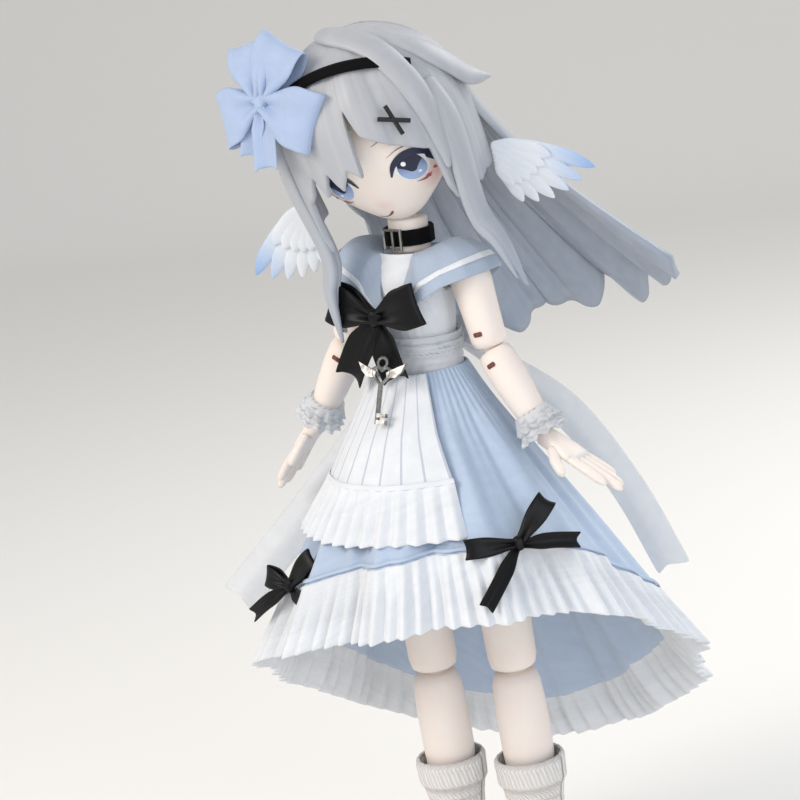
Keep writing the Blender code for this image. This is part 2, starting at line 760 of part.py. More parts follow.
def make_hand(rig, side, word):
    """A flat hand: four fingers side by side and a thumb at the front."""
    rings = []
    for along, wide, thick in PALM_SHARES:
        z = blend(WRIST_BALL, -PALM_LENGTH, along)
        rings.append(ellipse_ring((0, 0, z), PALM_DEPTH * thick, PALM_WIDTH * wide, 10))
    hand = loft("hand", rings)
    finger = HAND_LENGTH - PALM_LENGTH
    for across, length in FINGER_SHARES:
        y = across * PALM_WIDTH
        start = (0, y, -PALM_LENGTH + FINGER_RADIUS)
        end = (-side * FINGER_RADIUS * 0.8, y * 1.12, -PALM_LENGTH - finger * length)
        join(hand, rod("finger", start, end, FINGER_RADIUS, FINGER_RADIUS * 0.55, 6))
    root = Vector((0, -PALM_WIDTH * 0.5, -PALM_LENGTH * 0.35))
    tip = root + Vector((-side * 0.35, -0.62, -0.7)).normalized() * THUMB_LENGTH
    join(hand, rod("thumb", root, tip, FINGER_RADIUS * 1.25, FINGER_RADIUS * 0.7, 6))
    mouth = rod("mouth", (0, 0, 0), (0, 0, WRIST_BALL + OVERRUN), WRIST_PEG + GAP,
                WRIST_BALL + WRIST_PEG + OVERRUN)
    cut(hand, ball("socket", WRIST_BALL + GAP), mouth)
    place(hand, f"{word}_hand", "skin", rig[f"{word}_wrist_bend"])


# Legs
def make_leg(rig, side, word):
    """A leg from the hip ball to the shoe."""
    upper = THIGH_LENGTH - KNEE_SPAN / 2
    lower = CALF_LENGTH - KNEE_SPAN / 2
    swivel_ball(f"{word}_hip_ball", HIP_BALL, HIP_PEG, HIP_PEG_LENGTH, (-side, 0, 0),
                rig[f"{word}_hip_swing"])
    limb(f"{word}_thigh", [
        *dome(THIGH_RADIUS), (THIGH_RADIUS * 0.98, -upper * 0.3), (KNEE_RADIUS, -upper * 0.9),
        (KNEE_RADIUS, -upper - KNEE_RIM * 0.6), (KNEE_RADIUS * 0.9, -upper - KNEE_RIM),
        (0, -upper - KNEE_RIM),
    ], [
        ball("socket", HIP_BALL + GAP), slot_cutter(side, HIP_PEG, THIGH_RADIUS + OVERRUN),
        ball("cup", KNEE_LOBE + GAP, (0, 0, -upper)),
        moved(crease_cutter("+Y", KNEE_RIM, KNEE_RADIUS, False), (0, 0, -upper)),
    ], "skin", rig[f"{word}_hip_spread"])
    link(f"{word}_knee_link", KNEE_LOBE, KNEE_SPAN, KNEE_NECK, rig[f"{word}_knee_upper"])
    bore = rod("bore", (0, 0, -lower), (0, 0, -lower + ANKLE_PEG_LENGTH + GAP), ANKLE_PEG + GAP)
    limb(f"{word}_calf", [
        (0, KNEE_RIM), (KNEE_RADIUS * 0.9, KNEE_RIM), (KNEE_RADIUS, KNEE_RIM * 0.6),
        (CALF_RADIUS, -lower * 0.3), (ANKLE_RADIUS, -lower * 0.8),
        (ANKLE_RADIUS, -lower + ANKLE_STOP), (0, -lower + ANKLE_STOP),
    ], [
        ball("cup", KNEE_LOBE + GAP), crease_cutter("+Y", KNEE_RIM, KNEE_RADIUS, True), bore,
    ], "skin", rig[f"{word}_knee_lower"])
    swivel_ball(f"{word}_ankle_ball", ANKLE_BALL, ANKLE_PEG, ANKLE_PEG_LENGTH, (0, 0, 1),
                rig[f"{word}_ankle_turn"])
    make_foot(rig, word)
    make_sock(rig, word, lower)


FOOT_SHARES = (
    (0.0, 0.52, 0.66), (0.08, 0.70, 0.95), (0.38, 0.80, 0.96),
    (0.62, 1.0, 0.60), (0.85, 0.94, 0.42), (1.0, 0.46, 0.26),
)


def foot_form(name, grow, floor, top):
    """The outline of a foot from heel to toe, grown by an allowance, down to a floor."""
    rings = []
    base = -ANKLE_RISE + SOLE_DEPTH + SHOE_WALL
    for along, wide, tall in FOOT_SHARES:
        y = blend(HEEL_Y - SHOE_WALL + grow, HEEL_Y - SHOE_LENGTH + SHOE_WALL - grow, along)
        crown = blend(base, top, tall) + grow
        width = (SHOE_WIDTH - SHOE_WALL) * wide + grow
        centre = (0, y, (crown + floor) / 2)
        half = (crown - floor) / 2
        rings.append(ellipse_ring(centre, width, half, 12, (1, 0, 0), (0, 0, 1), 0.72))
    return loft(name, rings)


def make_foot(rig, word):
    """The foot on its ankle ball, inside a plain low shoe."""
    top, ground = ANKLE_BALL * 0.75, -ANKLE_RISE
    floor = ground + SOLE_DEPTH + SHOE_WALL
    foot = foot_form("foot", 0.0, floor, top)
    mouth = rod("mouth", (0, 0, 0), (0, 0, top + OVERRUN), ANKLE_PEG + GAP, ANKLE_BALL + OVERRUN)
    cut(foot, ball("socket", ANKLE_BALL + GAP), mouth)
    place(foot, f"{word}_foot", "skin", rig[f"{word}_foot_nod"])
    shoe = foot_form("shoe", SHOE_WALL + GAP, ground - OVERRUN, top)
    wide, long = 2 * SHOE_WIDTH, 2 * SHOE_LENGTH
    shoe_top = ground + SHOE_HEIGHT
    cut(shoe, foot_form("hollow", GAP, floor - GAP, top),
        box("throat", (-wide, -SHOE_WIDTH, shoe_top), (wide, long, shoe_top + long)),
        box("ground", (-wide, -long, ground - long), (wide, long, ground)))
    place(shoe, f"{word}_shoe", "black", rig[f"{word}_foot_nod"])


def make_sock(rig, word, lower):
    """The sock on the calf, with its folded cuff."""
    bottom = -lower + ANKLE_STOP
    inner = CALF_RADIUS + GAP
    ankle = ANKLE_RADIUS + GAP
    rise = -SOCK_TOP
    bend = -lower * 0.8
    middle = blend(inner, ankle, (rise - SOCK_CUFF + lower * 0.3) / (bend + lower * 0.3))
    sock = turned("sock", [
        (inner, rise), (inner + SOCK_CUFF_WALL, rise - SOCK_WALL),
        (inner + SOCK_CUFF_WALL * 1.25, rise - SOCK_CUFF), (middle + SOCK_WALL, rise - SOCK_CUFF),
        (ankle + SOCK_WALL, bend), (ankle + SOCK_WALL, bottom), (ankle, bottom), (ankle, bend),
        (inner, rise),
    ])
    place(sock, f"{word}_sock", "white cloth", rig[f"{word}_knee_lower"])


# Head
def smooth(value):
    """A share from zero to one that starts and ends softly."""
    value = min(max(value, 0.0), 1.0)
    return value * value * (3.0 - 2.0 * value)


def make_head(rig):
    """The head: a round skull that narrows to a small chin, with the ball's socket."""
    head = ball("head", 1.0, sides=20)
    for vertex in head.data.vertices:
        x, y, z = vertex.co
        low = smooth((-z - 0.35) / 0.65)
        narrow = 1.0 - 0.30 * low
        lift = 1.0 - 0.24 * max(y, 0.0) * smooth(-z)
        front = 0.95 if y < 0 else 1.0
        height = HEAD_TOP if z > 0 else CHIN_DROP * lift
        vertex.co = (
            x * HEAD_WIDTH * narrow, y * HEAD_DEPTH * front * narrow - HEAD_DEPTH * 0.14 * low, z * height,
        )
    centre = (0, -SKULL_Y, -SKULL_RISE)
    mouth = rod("mouth", centre, (0, -SKULL_Y, -CHIN_DROP - OVERRUN), HEAD_PEG + GAP * 2, NECK_RADIUS * 2)
    cut(head, ball("socket", HEAD_BALL + GAP, centre), mouth)
    place(head, "head", "skin", rig["skull"], 60)


# Hair
def on_hair(azimuth, drop, grow=0.0):
    """A point on the hair's round form. Azimuth 0 is the front, positive to the left.

    The drop is an arc from the crown in degrees; past 90 it falls straight down.
    """
    radius = HAIR_RADIUS + grow
    turn, arc = math.radians(azimuth), math.radians(min(drop, 90.0))
    fall = math.radians(max(drop - 90.0, 0.0))
    out = radius * math.sin(arc) * (1.0 - 0.06 * fall * fall)
    return Vector((out * math.sin(turn), -out * math.cos(turn), radius * (math.cos(arc) - fall)))


# The fringe: (azimuth as a share of 100 degrees, height as a share of the hair radius)
FRINGE_SHARES = (
    (-1.00, -0.82), (-0.80, -0.86), (-0.62, -0.84), (-0.52, -1.05), (-0.465, -0.50),
    (-0.40, -0.43), (-0.34, -0.22), (-0.27, -0.45), (-0.20, -0.20), (-0.13, -0.42),
    (-0.07, -0.22), (0.0, -0.36), (0.025, 0.40), (0.08, 0.06), (0.19, -0.08), (0.30, -0.20),
    (0.44, -0.31), (0.475, -0.72), (0.53, -0.93), (0.60, -0.72), (0.74, -0.86), (1.00, -0.82),
)
FRINGE_ROWS = 7
LOCK_SHARES = (0.55, 0.9, 1.0, 0.85, 0.5, 0.12)


def fringe_drop(height):
    """The arc in degrees from the crown at which the hair ends at a height share."""
    if height > 0:
        return math.degrees(math.acos(height))
    return 90.0 + math.degrees(-height)


def make_hair_front(rig):
    """The front of the hair: crown, fringe, cheek locks and the long side locks."""
    columns = list(FRINGE_SHARES) + [(1.3, 0.2), (1.8, 0.2), (2.3, 0.2)]
    rows = []
    for step in range(FRINGE_ROWS + 1):
        share = step / FRINGE_ROWS
        row = []
        for i, (azimuth, height) in enumerate(columns):
            groove = CLUMP_GROOVE * (0.3 if i % 2 else -0.1) * share
            row.append(on_hair(azimuth * 100.0, fringe_drop(height) * share, groove))
        rows.append(row)
    hair = sheet("hair_front", rows, HAIR_WALL, wrap=True)
    wide = 2 * HAIR_RADIUS
    cut(hair, box("behind", (-wide, PART_Y - GAP / 2, -wide), (wide, wide, wide)))
    for side in (1, -1):
        top = on_hair(side * 62, 88, -HAIR_WALL / 2)
        points = [top, on_hair(side * 60, 118, 0), on_hair(side * 59, 150, LOCK_DEPTH / 2)]
        tip = Vector((side * HAIR_RADIUS * 1.04, -HAIR_RADIUS * 0.50, -LONG_LOCK_DROP * 0.80))
        points += [blend(points[-1], tip, 0.35), blend(points[-1], tip, 0.72), tip]
        widths = [LOCK_WIDTH * share for share in LOCK_SHARES]
        join(hair, strand("lock", points, widths, LOCK_DEPTH, (0, 0, -LONG_LOCK_DROP / 2)))
    points = [on_hair(azimuth, drop, GAP) for azimuth, drop in
              ((-75, 9), (-30, 11), (16, 18), (44, 36), (53, 66), (54, 102))]
    widths = [LOCK_WIDTH * 0.8 * share for share in (0.6, 0.9, 0.9, 0.8, 0.8, 0.4)]
    join(hair, strand("parting", points, widths, LOCK_DEPTH * 0.55, (0, 0, 0)))
    place(hair, "hair_front", "hair", rig["skull"])


# Back hair: reach and drop of its tips by azimuth share, from the right side to the left
BACK_REACH_SHARES = ((-1.0, 0.58), (-0.6, 0.66), (0.0, 0.86), (0.5, 1.0), (1.0, 0.97))
BACK_DROP_SHARES = ((-1.0, 0.92), (0.0, 1.0), (0.6, 0.96), (1.0, 0.80))
BACK_ROWS = 8
BACK_SPAN_SHARES = ((-1.0, 0.50), (1.0, 0.74))


def parting_angle(out):
    """The angle from straight back to the edge beside the front hair, at a radius."""
    return math.acos((PART_Y + GAP) / out)


def back_point(share, t):
    """A point of the back hair; share runs across it and t from crown to tip."""
    split = 0.38
    clump = (share + 1.0) / 2.0 * BACK_CLUMPS
    inside = abs(2.0 * (clump % 1.0) - 1.0)
    if t <= split:
        arc = math.radians(90.0 * t / split)
        out = HAIR_RADIUS * math.sin(arc)
        turn = math.pi - share * parting_angle(out)
        return Vector((math.sin(turn) * out, -math.cos(turn) * out, math.cos(arc) * HAIR_RADIUS))
    fall = (t - split) / (1.0 - split)
    widest = math.radians(90.0 * table(BACK_SPAN_SHARES, share))
    span = blend(parting_angle(HAIR_RADIUS), widest, smooth(fall * 2.2))
    turn = math.pi - share * span
    reach = blend(HAIR_RADIUS, BACK_HAIR_REACH * table(BACK_REACH_SHARES, share), fall ** 1.25)
    out = reach - CLUMP_GROOVE * inside * smooth(fall * 3)
    length = BACK_HAIR_DROP * table(BACK_DROP_SHARES, share) * (1.0 - 0.17 * inside ** 1.5)
    return Vector((math.sin(turn) * out, -math.cos(turn) * out, -length * fall))


def make_hair_back(rig):
    """The back of the hair: the rear of the cap and the long hair that fans out."""
    count = BACK_CLUMPS * 4
    rows = []
    for step in range(BACK_ROWS + 1):
        t = blend(0.07, 1.0, step / BACK_ROWS)
        rows.append([back_point(2.0 * i / count - 1.0, t) for i in range(count + 1)])
    hair = sheet("hair_back", rows, HAIR_WALL, offset=1.0)
    for azimuth, drop in ((130, 60), (136, 80)):
        root = on_hair(azimuth - 16, drop - 22, -HAIR_WALL / 2)
        points = [on_hair(azimuth - 8, drop - 12, 0), on_hair(azimuth, drop, LOCK_DEPTH / 3)]
        away = (points[-1] - points[0]).normalized() + Vector((0.2, 0, 0.45))
        points.append(points[-1] + away.normalized() * FLICK_LENGTH * 0.5)
        widths = [LOCK_WIDTH * 0.6 * share for share in (0.6, 1.0, 0.8, 0.15)]
        join(hair, strand("flick", [root, *points], widths, LOCK_DEPTH * 0.6, (0, 0, 0)))
    place(hair, "hair_back", "hair", rig["skull"])


# Ear wings: (angle below level in degrees, length share) of each feather
FEATHERS = ((35.0, 1.0), (45.0, 0.86), (55.0, 0.72), (66.0, 0.58), (80.0, 0.45))
FEATHER_SHARES = (0.55, 0.9, 1.0, 0.75, 0.12)


def make_wing(rig, side, word):
    """A small feathered wing that sits where the ear would be."""
    root = Vector((side * WING_ROOT_X, GAP, -HAIR_RADIUS * 0.62))
    wing = None
    for i, (angle, length) in enumerate(FEATHERS):
        below = math.radians(angle)
        reach = WING_LENGTH * length
        across = Vector((side * math.cos(below), 0.16, -math.sin(below)))
        start = root - Vector((0, 0, i * WING_CHORD * 0.18))
        points = [start + across * reach * t for t in (0.0, 0.28, 0.6, 0.85, 1.0)]
        widths = [WING_CHORD / 2 * share * (0.55 + 0.45 * length) for share in FEATHER_SHARES]
        depth = WING_DEPTH / 2 * (1.0 + 0.12 * (len(FEATHERS) - i))
        feather = strand("feather", points, widths, depth, root - Vector((0, 1, 0)) * WING_LENGTH, 4)
        wing = join(wing, feather) if wing else feather
    place(wing, f"ear_wing_{word}", "feather", rig["skull"])


BAND_SWEEP = (72.0, 150.0)


def make_hair_band(rig):
    """A narrow band over the fringe."""
    tilt, offset = 16.0, HAIR_RADIUS * 0.79
    inner = HAIR_RADIUS + CLUMP_GROOVE * 0.3 + GAP
    rings = []
    for step in range(13):
        angle = math.radians(blend(*BAND_SWEEP, step / 12))
        ring = []
        for edge, grow in ((-1, 0), (1, 0), (1, 1), (-1, 1)):
            away = offset + edge * BAND_WIDTH / 2
            radius = math.sqrt((inner + grow * BAND_DEPTH) ** 2 - away ** 2)
            ring.append(Vector((radius * math.cos(angle), -away, radius * math.sin(angle))))
        rings.append(ring)
    band = moved(loft("hair_band", rings), turn=(-tilt, 0, 0))
    place(band, "hair_band", "black", rig["skull"])


def make_hair_clip(rig):
    """A crossed hair clip on the fringe."""
    centre = on_hair(29, 84, CLUMP_GROOVE * 0.3 + CLIP_RADIUS + 2 * GAP)
    out = centre.normalized()
    level = Vector((out.y, -out.x, 0)).normalized() * -1
    up = level.cross(out)
    rods = []
    for angle in (25.0, 80.0):
        reach = (level * math.cos(math.radians(angle)) + up * math.sin(math.radians(angle))) * CLIP_ARM
        rods.append(rod("arm", centre - reach, centre + reach, CLIP_RADIUS, sides=8))
    place(join(*rods), "hair_clip", "black", rig["skull"])


# Bows
def petal(name, direction, length, height, depth, sides=8):
    """A puffed ribbon loop that grows from a knot along a direction in XZ."""
    direction = Vector(direction).normalized()
    across = Vector((-direction.z, 0, direction.x))
    rings = []
    for t, wide, thick in ((0.0, 0.34, 0.5), (0.35, 0.72, 0.9), (0.75, 1.0, 1.0), (1.0, 0.8, 0.55)):
        rings.append(ellipse_ring(direction * length * t, height / 2 * wide, depth / 2 * thick,
                                  sides, across, (0, 1, 0), 0.8))
    return loft(name, rings)


def ribbon_tail(name, points, width, depth):
    """A flat ribbon end along points, facing the front."""
    points = [Vector(point) for point in points]
    rings = []
    for i, point in enumerate(points):
        along = (points[min(i + 1, len(points) - 1)] - points[max(i - 1, 0)]).normalized()
        across = along.cross(Vector((0, 1, 0))).normalized()
        out = across.cross(along)
        size = width * (0.6 + 0.4 * i / (len(points) - 1))
        corners = ((-1, -1), (1, -1), (1, 1), (-1, 1))
        rings.append([point + across * size / 2 * a + out * depth / 2 * b for a, b in corners])
    return loft(name, rings)


def bow(name, petals, tails, height, depth, tail_width):
    """A bow: a knot, petals given as (direction, length) and tails as point lists."""
    knot = ball("knot", height * 0.24, scale=(1.0, 1.1, 1.15))
    for direction, length in petals:
        join(knot, petal("petal", direction, length, height, depth))
    for points in tails:
        join(knot, ribbon_tail("tail", points, tail_width, max(depth * 0.3, CLOTH)))
    knot.name = name
    return knot


def make_hair_bow(rig):
    """The large bow on the right of the head."""
    width, tail = HAIR_BOW_WIDTH, HAIR_BOW_TAIL
    made = bow("hair_bow", [
        ((-0.95, 0, 0.1), width * 0.8), ((0.9, 0, 0.2), width * 0.85),
        ((0.35, 0, 1.0), width * 1.15), ((0.1, 0, -1.0), width * 0.75),
    ], [((0, 0, 0), (tail * 0.2, 0, -tail * 0.55), (tail * 0.3, 0, -tail * 1.05))],
        HAIR_BOW_HEIGHT * 1.25, HAIR_BOW_HEIGHT * 0.42, HAIR_BOW_HEIGHT * 0.5)
    centre = on_hair(-62, 58, HAIR_BOW_HEIGHT * 0.5)
    faced(made, centre, centre)
    place(made, "hair_bow", "blue cloth", rig["skull"])


# Dress
def chest_front():
    """How far the chest's front lies from its axis."""
    return CHEST_DEPTH * 1.06


def make_choker(rig):
    """The choker and its square buckle."""
    inner = NECK_RADIUS + GAP
    outer = inner + CHOKER_WALL
    top, foot = CHOKER_RISE + CHOKER_HEIGHT / 2, CHOKER_RISE - CHOKER_HEIGHT / 2
    choker = turned("choker", [(inner, top), (outer, top), (outer, foot), (inner, foot), (inner, top)])
    place(choker, "choker", "black", rig["neck_tilt"])
    half = BUCKLE_SIZE / 2
    front = -outer - GAP - BUCKLE_WIRE
    corners = [(-half, front, CHOKER_RISE - half), (half, front, CHOKER_RISE - half),
               (half, front, CHOKER_RISE + half), (-half, front, CHOKER_RISE + half)]
    buckle = wire("buckle", corners, BUCKLE_WIRE, closed=True)
    bar = rod("bar", (0, front, CHOKER_RISE - half), (0, front, CHOKER_RISE + half), BUCKLE_WIRE * 0.8,
              sides=6)
    place(join(buckle, bar), "choker_buckle", "silver", rig["neck_tilt"])


def chest_ring(z, grow, sides=20):
    """Points round the chest at a height, grown by an allowance."""
    spans = [(rise * (CHEST_TOP if rise > 0 else CHEST_DROP), wide, deep)
             for rise, wide, deep in CHEST_SHARES]
    for (z0, w0, d0), (z1, w1, d1) in zip(spans, spans[1:]):
        if z <= z1:
            break
    share = min(max((z - z0) / (z1 - z0), 0.0), 1.0)
    return ellipse_ring((0, 0, z), CHEST_WIDTH * blend(w0, w1, share) + grow,
                        CHEST_DEPTH * blend(d0, d1, share) + grow, sides)


def make_bodice(rig):
    """The sleeveless bodice, open at neck, waist and armholes."""
    rows = [chest_ring(blend(BODICE_HEAD, BODICE_FOOT, step / 4), GAP) for step in range(5)]
    bodice = sheet("bodice", rows, CLOTH, wrap=True, offset=1.0)
    for side in (1, -1):
        centre = (side * SHOULDER_X, 0, SHOULDER_RISE)
        cut(bodice, ball("armhole", ARMHOLE_RADIUS + GAP, centre))
    place(bodice, "bodice", "white cloth", rig["waist_lean"])


COLLAR_ROWS = 3


def make_collar(rig):
    """The sailor collar: a V in front, over the shoulders and square behind."""
    rows = []
    lift = CHEST_TOP + GAP * 2 - SHOULDER_RISE
    for step in range(COLLAR_ROWS + 1):
        out = step / COLLAR_ROWS
        row = []
        for i in range(24):
            angle = math.tau * i / 24
            side, back = math.sin(angle), -math.cos(angle)
            square = max(abs(side), abs(back)) ** -0.7
            reach = COLLAR_BACK - COLLAR_NECK if back > 0 else COLLAR_FRONT - COLLAR_NECK
            reach = blend(COLLAR_WIDTH, reach, abs(back))
            radius = COLLAR_NECK + reach * out * square
            fall = 0.25 * abs(side) + (0.75 if back > 0 else 0.95) * abs(back)
            z = SHOULDER_RISE + lift + CLOTH - reach * out * fall * (0.5 + out * 0.6)
            row.append((side * radius, back * radius * 0.92 + NECK_Y * 2, z))
        rows.append(row)
    collar = sheet("sailor_collar", rows, CLOTH, wrap=True)
    place(collar, "sailor_collar", "blue cloth", rig["waist_lean"])


def make_chest_bow(rig):
    """The black bow on the front of the collar."""
    width, tail = CHEST_BOW_WIDTH, CHEST_BOW_TAIL
    made = bow("chest_bow", [((-1, 0, 0.32), width), ((1, 0, 0.32), width)], [
        ((0, 0, 0), (-tail * 0.3, 0, -tail * 0.5), (-tail * 0.52, 0, -tail)),
        ((0, 0, 0), (tail * 0.28, 0, -tail * 0.45), (tail * 0.5, 0, -tail * 0.82)),
    ], CHEST_BOW_HEIGHT * 1.3, CHEST_BOW_HEIGHT * 0.5, CHEST_BOW_HEIGHT * 0.75)
    front = chest_front() + CLOTH * 2 + GAP + CHEST_BOW_HEIGHT * 0.45
    moved(made, (0, -front, CHEST_BOW_RISE), (0, 0, 0))
    place(made, "chest_bow", "satin", rig["waist_lean"])


HEART_SHARES = (
    (0.0, 0.42), (0.5, 0.78), (1.0, 0.5), (0.95, -0.05), (0.0, -1.0),
    (-0.95, -0.05), (-1.0, 0.5), (-0.5, 0.78),
)


def make_charm(rig):
    """The winged key that hangs under the chest bow."""
    ring = KEY_WIRE * 2.2
    eye = [(ring * math.cos(a), 0, ring * math.sin(a)) for a in
           (math.tau * i / 10 for i in range(10))]
    key = wire("key", eye, KEY_WIRE * 0.7, closed=True)
    size = KEY_LENGTH * 0.17
    heart = [(x * size, 0, z * size - ring - size * 0.6) for x, z in HEART_SHARES]
    join(key, wire("heart", heart, KEY_WIRE * 0.8, closed=True))
    top, foot = -ring - size * 1.4, -KEY_LENGTH
    join(key, rod("shaft", (0, 0, top), (0, 0, foot), KEY_WIRE, sides=8))
    for rise in (0.0, 0.22):
        z = foot + KEY_LENGTH * rise / 2
        join(key, box("tooth", (0, -KEY_WIRE, z), (KEY_WIRE * 4, KEY_WIRE, z + KEY_WIRE * 1.6)))
    level = -ring - size * 0.35
    for side in (1, -1):
        points = [(side * size * 0.6, level), (side * KEY_WING, level + size * 0.9),
                  (side * KEY_WING * 0.85, level + size * 0.1), (side * KEY_WING * 0.6, level - size * 0.5),
                  (side * size * 0.7, level - size * 0.5)]
        join(key, outline("wing", points, KEY_WIRE * 1.4))
    place(key, "key_charm", "silver", rig["charm_swing"])


def make_sash(rig):
    """The sheer sash round the waist."""
    rows = [chest_ring(SASH_FOOT + SASH_HEIGHT * share, GAP * 2 + CLOTH * 2 + puff)
            for share, puff in ((1.0, 0.0), (0.62, CLOTH / 2), (0.3, CLOTH / 2), (0.0, CLOTH))]
    sash = sheet("waist_sash", rows, SASH_DEPTH, wrap=True, offset=1.0)
    place(sash, "waist_sash", "white cloth", rig["waist_lean"])


# Skirt: everything hangs from the pelvis, and angles run from the front to the left
def skirt_hem(angle):
    """The reach and the drop of the blue skirt's hem at an angle in radians."""
    back = (1.0 - math.cos(angle)) / 2.0
    return (blend(SKIRT_FRONT_REACH, SKIRT_BACK_REACH, back),
            blend(SKIRT_FRONT_DROP, SKIRT_BACK_DROP, back))


def skirt_point(angle, share, lift=0.0, fold=0.0):
    """A point on the skirt; the share runs from waist to hem."""
    reach, drop = skirt_hem(angle)
    radius = blend(SKIRT_WAIST, reach, share ** 1.06) + lift + fold
    squash = blend(0.84, 1.0, min(share * 3, 1.0))
    return Vector((math.sin(angle) * radius, -math.cos(angle) * radius * squash,
                   WAIST_RISE + SKIRT_RISE - drop * share))


def skirt_fold(angle, share):
    """The gathers of the skirt."""
    return SKIRT_FOLD * smooth(share * 1.6) * math.cos(SKIRT_FOLDS * angle)


def make_skirt(rig):
    """The gathered skirt, shorter in front."""
    count = SKIRT_FOLDS * 4
    rows = []
    for step in range(5):
        share = step / 4
        angles = [math.tau * i / count for i in range(count)]
        rows.append([skirt_point(a, share, 0, skirt_fold(a, share)) for a in angles])
    cloth = sheet("skirt", rows, CLOTH, wrap=True)
    place(cloth, "skirt", "blue cloth", rig["pelvis_frame"], 60)


def make_ruffle(rig):
    """The pleated ruffle under the skirt's hem."""
    count = RUFFLE_PLEATS * 4
    rows = []
    for share in (0.0, 1.0):
        row = []
        for i in range(count):
            angle = math.tau * i / count
            reach, drop = skirt_hem(angle)
            pleat = RUFFLE_PLEAT * math.cos(RUFFLE_PLEATS * angle) * blend(0.5, 1.2, share)
            seam = SKIRT_FOLD * math.cos(SKIRT_FOLDS * angle) * (1.0 - share)
            radius = reach + GAP * 2 + RUFFLE_FLARE * share + pleat * share + seam
            down = drop + CLOTH + GAP + share * math.sqrt(RUFFLE_DEPTH ** 2 - RUFFLE_FLARE ** 2)
            row.append((math.sin(angle) * radius, -math.cos(angle) * radius,
                        WAIST_RISE + SKIRT_RISE - down))
        rows.append(row)
    cloth = sheet("skirt_ruffle", rows, CLOTH, wrap=True)
    place(cloth, "skirt_ruffle", "white cloth", rig["pelvis_frame"], 60)


def apron_row(share, lift, count, pleat=0.0):
    """A row of points across the apron's width."""
    row = []
    for i in range(count + 1):
        across = 2.0 * i / count - 1.0
        angle = math.radians(APRON_TURN + APRON_HALF_ANGLE * across)
        wave = pleat * math.cos(math.pi * APRON_PLEATS * (across + 1.0))
        row.append(skirt_point(angle, share, lift + SKIRT_FOLD, wave))
    return row


def make_apron(rig):
    """The apron, with its own pleated ruffle."""
    foot = APRON_DROP / SKIRT_FRONT_DROP
    rows = [apron_row(blend(0.04, foot, step / 3), APRON_LIFT, 12) for step in range(4)]
    place(sheet("apron", rows, CLOTH), "apron", "white cloth", rig["pelvis_frame"], 60)
    count = APRON_PLEATS * 4
    rows = []
    for share in (0.0, 0.5, 1.0):
        lift = APRON_LIFT + GAP + APRON_RUFFLE_FLARE * share
        down = (GAP + APRON_RUFFLE_DEPTH * share) / SKIRT_FRONT_DROP
        rows.append(apron_row(foot + down, lift, count, APRON_PLEAT * share))
    ruffle = sheet("apron_ruffle", rows, CLOTH)
    place(ruffle, "apron_ruffle", "white cloth", rig["pelvis_frame"], 60)


def make_hem_bows(rig):
    """The two narrow bows where the ruffle joins the skirt."""
    width, tail = HEM_BOW_WIDTH, HEM_BOW_TAIL
    for side, word in ((1, "left"), (-1, "right")):
        made = bow("hem_bow", [((-0.8, 0, -0.1), width * 0.7), ((0.75, 0, 0.65), width)], [
            ((0, 0, 0), (tail * 0.45, 0, -tail * 0.02), (tail * 0.95, 0, -tail * 0.06)),
            ((0, 0, 0), (-tail * 0.25, 0, -tail * 0.42), (-tail * 0.5, 0, -tail * 0.9)),
        ], HEM_BOW_HEIGHT * 1.25, HEM_BOW_HEIGHT * 0.6, TAIL_WIDTH * 0.8)
        moved(made, scale=(side, 1, 1))
        angle = math.radians(side * 48)
        lift = HEM_BOW_HEIGHT * 1.75
        centre = skirt_point(angle, 1.0, lift) - Vector((0, 0, HEM_BOW_HEIGHT))
        moved(made, centre, (-HEM_BOW_TILT, 0, math.degrees(angle)))
        place(made, f"hem_bow_{word}", "satin", rig["pelvis_frame"])


BACK_TAIL_SHARES = (
    ((0.0, 0.0, 0.0), (-0.62, 0.14, -0.42), (-1.05, 0.02, -0.75), (-1.4, -0.36, -1.05)),
    ((0.0, 0.0, 0.0), (0.42, 0.30, -0.42), (0.64, 0.46, -0.85), (0.80, 0.60, -1.35)),
)


def make_back_bow(rig):
    """The sheer bow behind the waist, with two wide ends that float over the skirt."""
    width = BACK_BOW_WIDTH
    span = SKIRT_BACK_REACH * 0.92
    tails = [[Vector(point) * span for point in tail] for tail in BACK_TAIL_SHARES]
    made = bow("back_bow", [((-1, 0, 0.25), width), ((1, 0, 0.25), width)], tails,
               BACK_BOW_HEIGHT, BACK_BOW_HEIGHT * 0.5, TAIL_WIDTH * 1.9)
    rise = SASH_FOOT + SASH_HEIGHT / 2
    back = CHEST_DEPTH * 0.79 + GAP * 3 + CLOTH * 3 + SASH_DEPTH + BACK_BOW_HEIGHT * 0.35
    moved(made, (0, back, rise))
    place(made, "back_bow", "white cloth", rig["waist_lean"])


def make_cuff(rig, word):
    """The double lace cuff at the end of the forearm."""
    lower = FOREARM_LENGTH - ELBOW_SPAN / 2
    top = -lower + WRIST_STOP + CUFF_RISE
    inner = WRIST_RADIUS + GAP * 1.6
    waves = 8
    rows = []
    for share in (0.0, 0.35, 0.65, 1.0):
        row = []
        for i in range(waves * 3):
            angle = math.tau * i / (waves * 3)
            wave = CUFF_FLARE * 0.3 * share * math.cos(waves * angle)
            radius = inner + CLOTH + CUFF_FLARE * share ** 1.5 + wave
            row.append((radius * math.cos(angle), radius * math.sin(angle), top - CUFF_DEPTH * share))
        rows.append(row)
    cuff = sheet("cuff", rows, CLOTH, wrap=True)
    place(cuff, f"{word}_lace_cuff", "white cloth", rig[f"{word}_elbow_lower"])


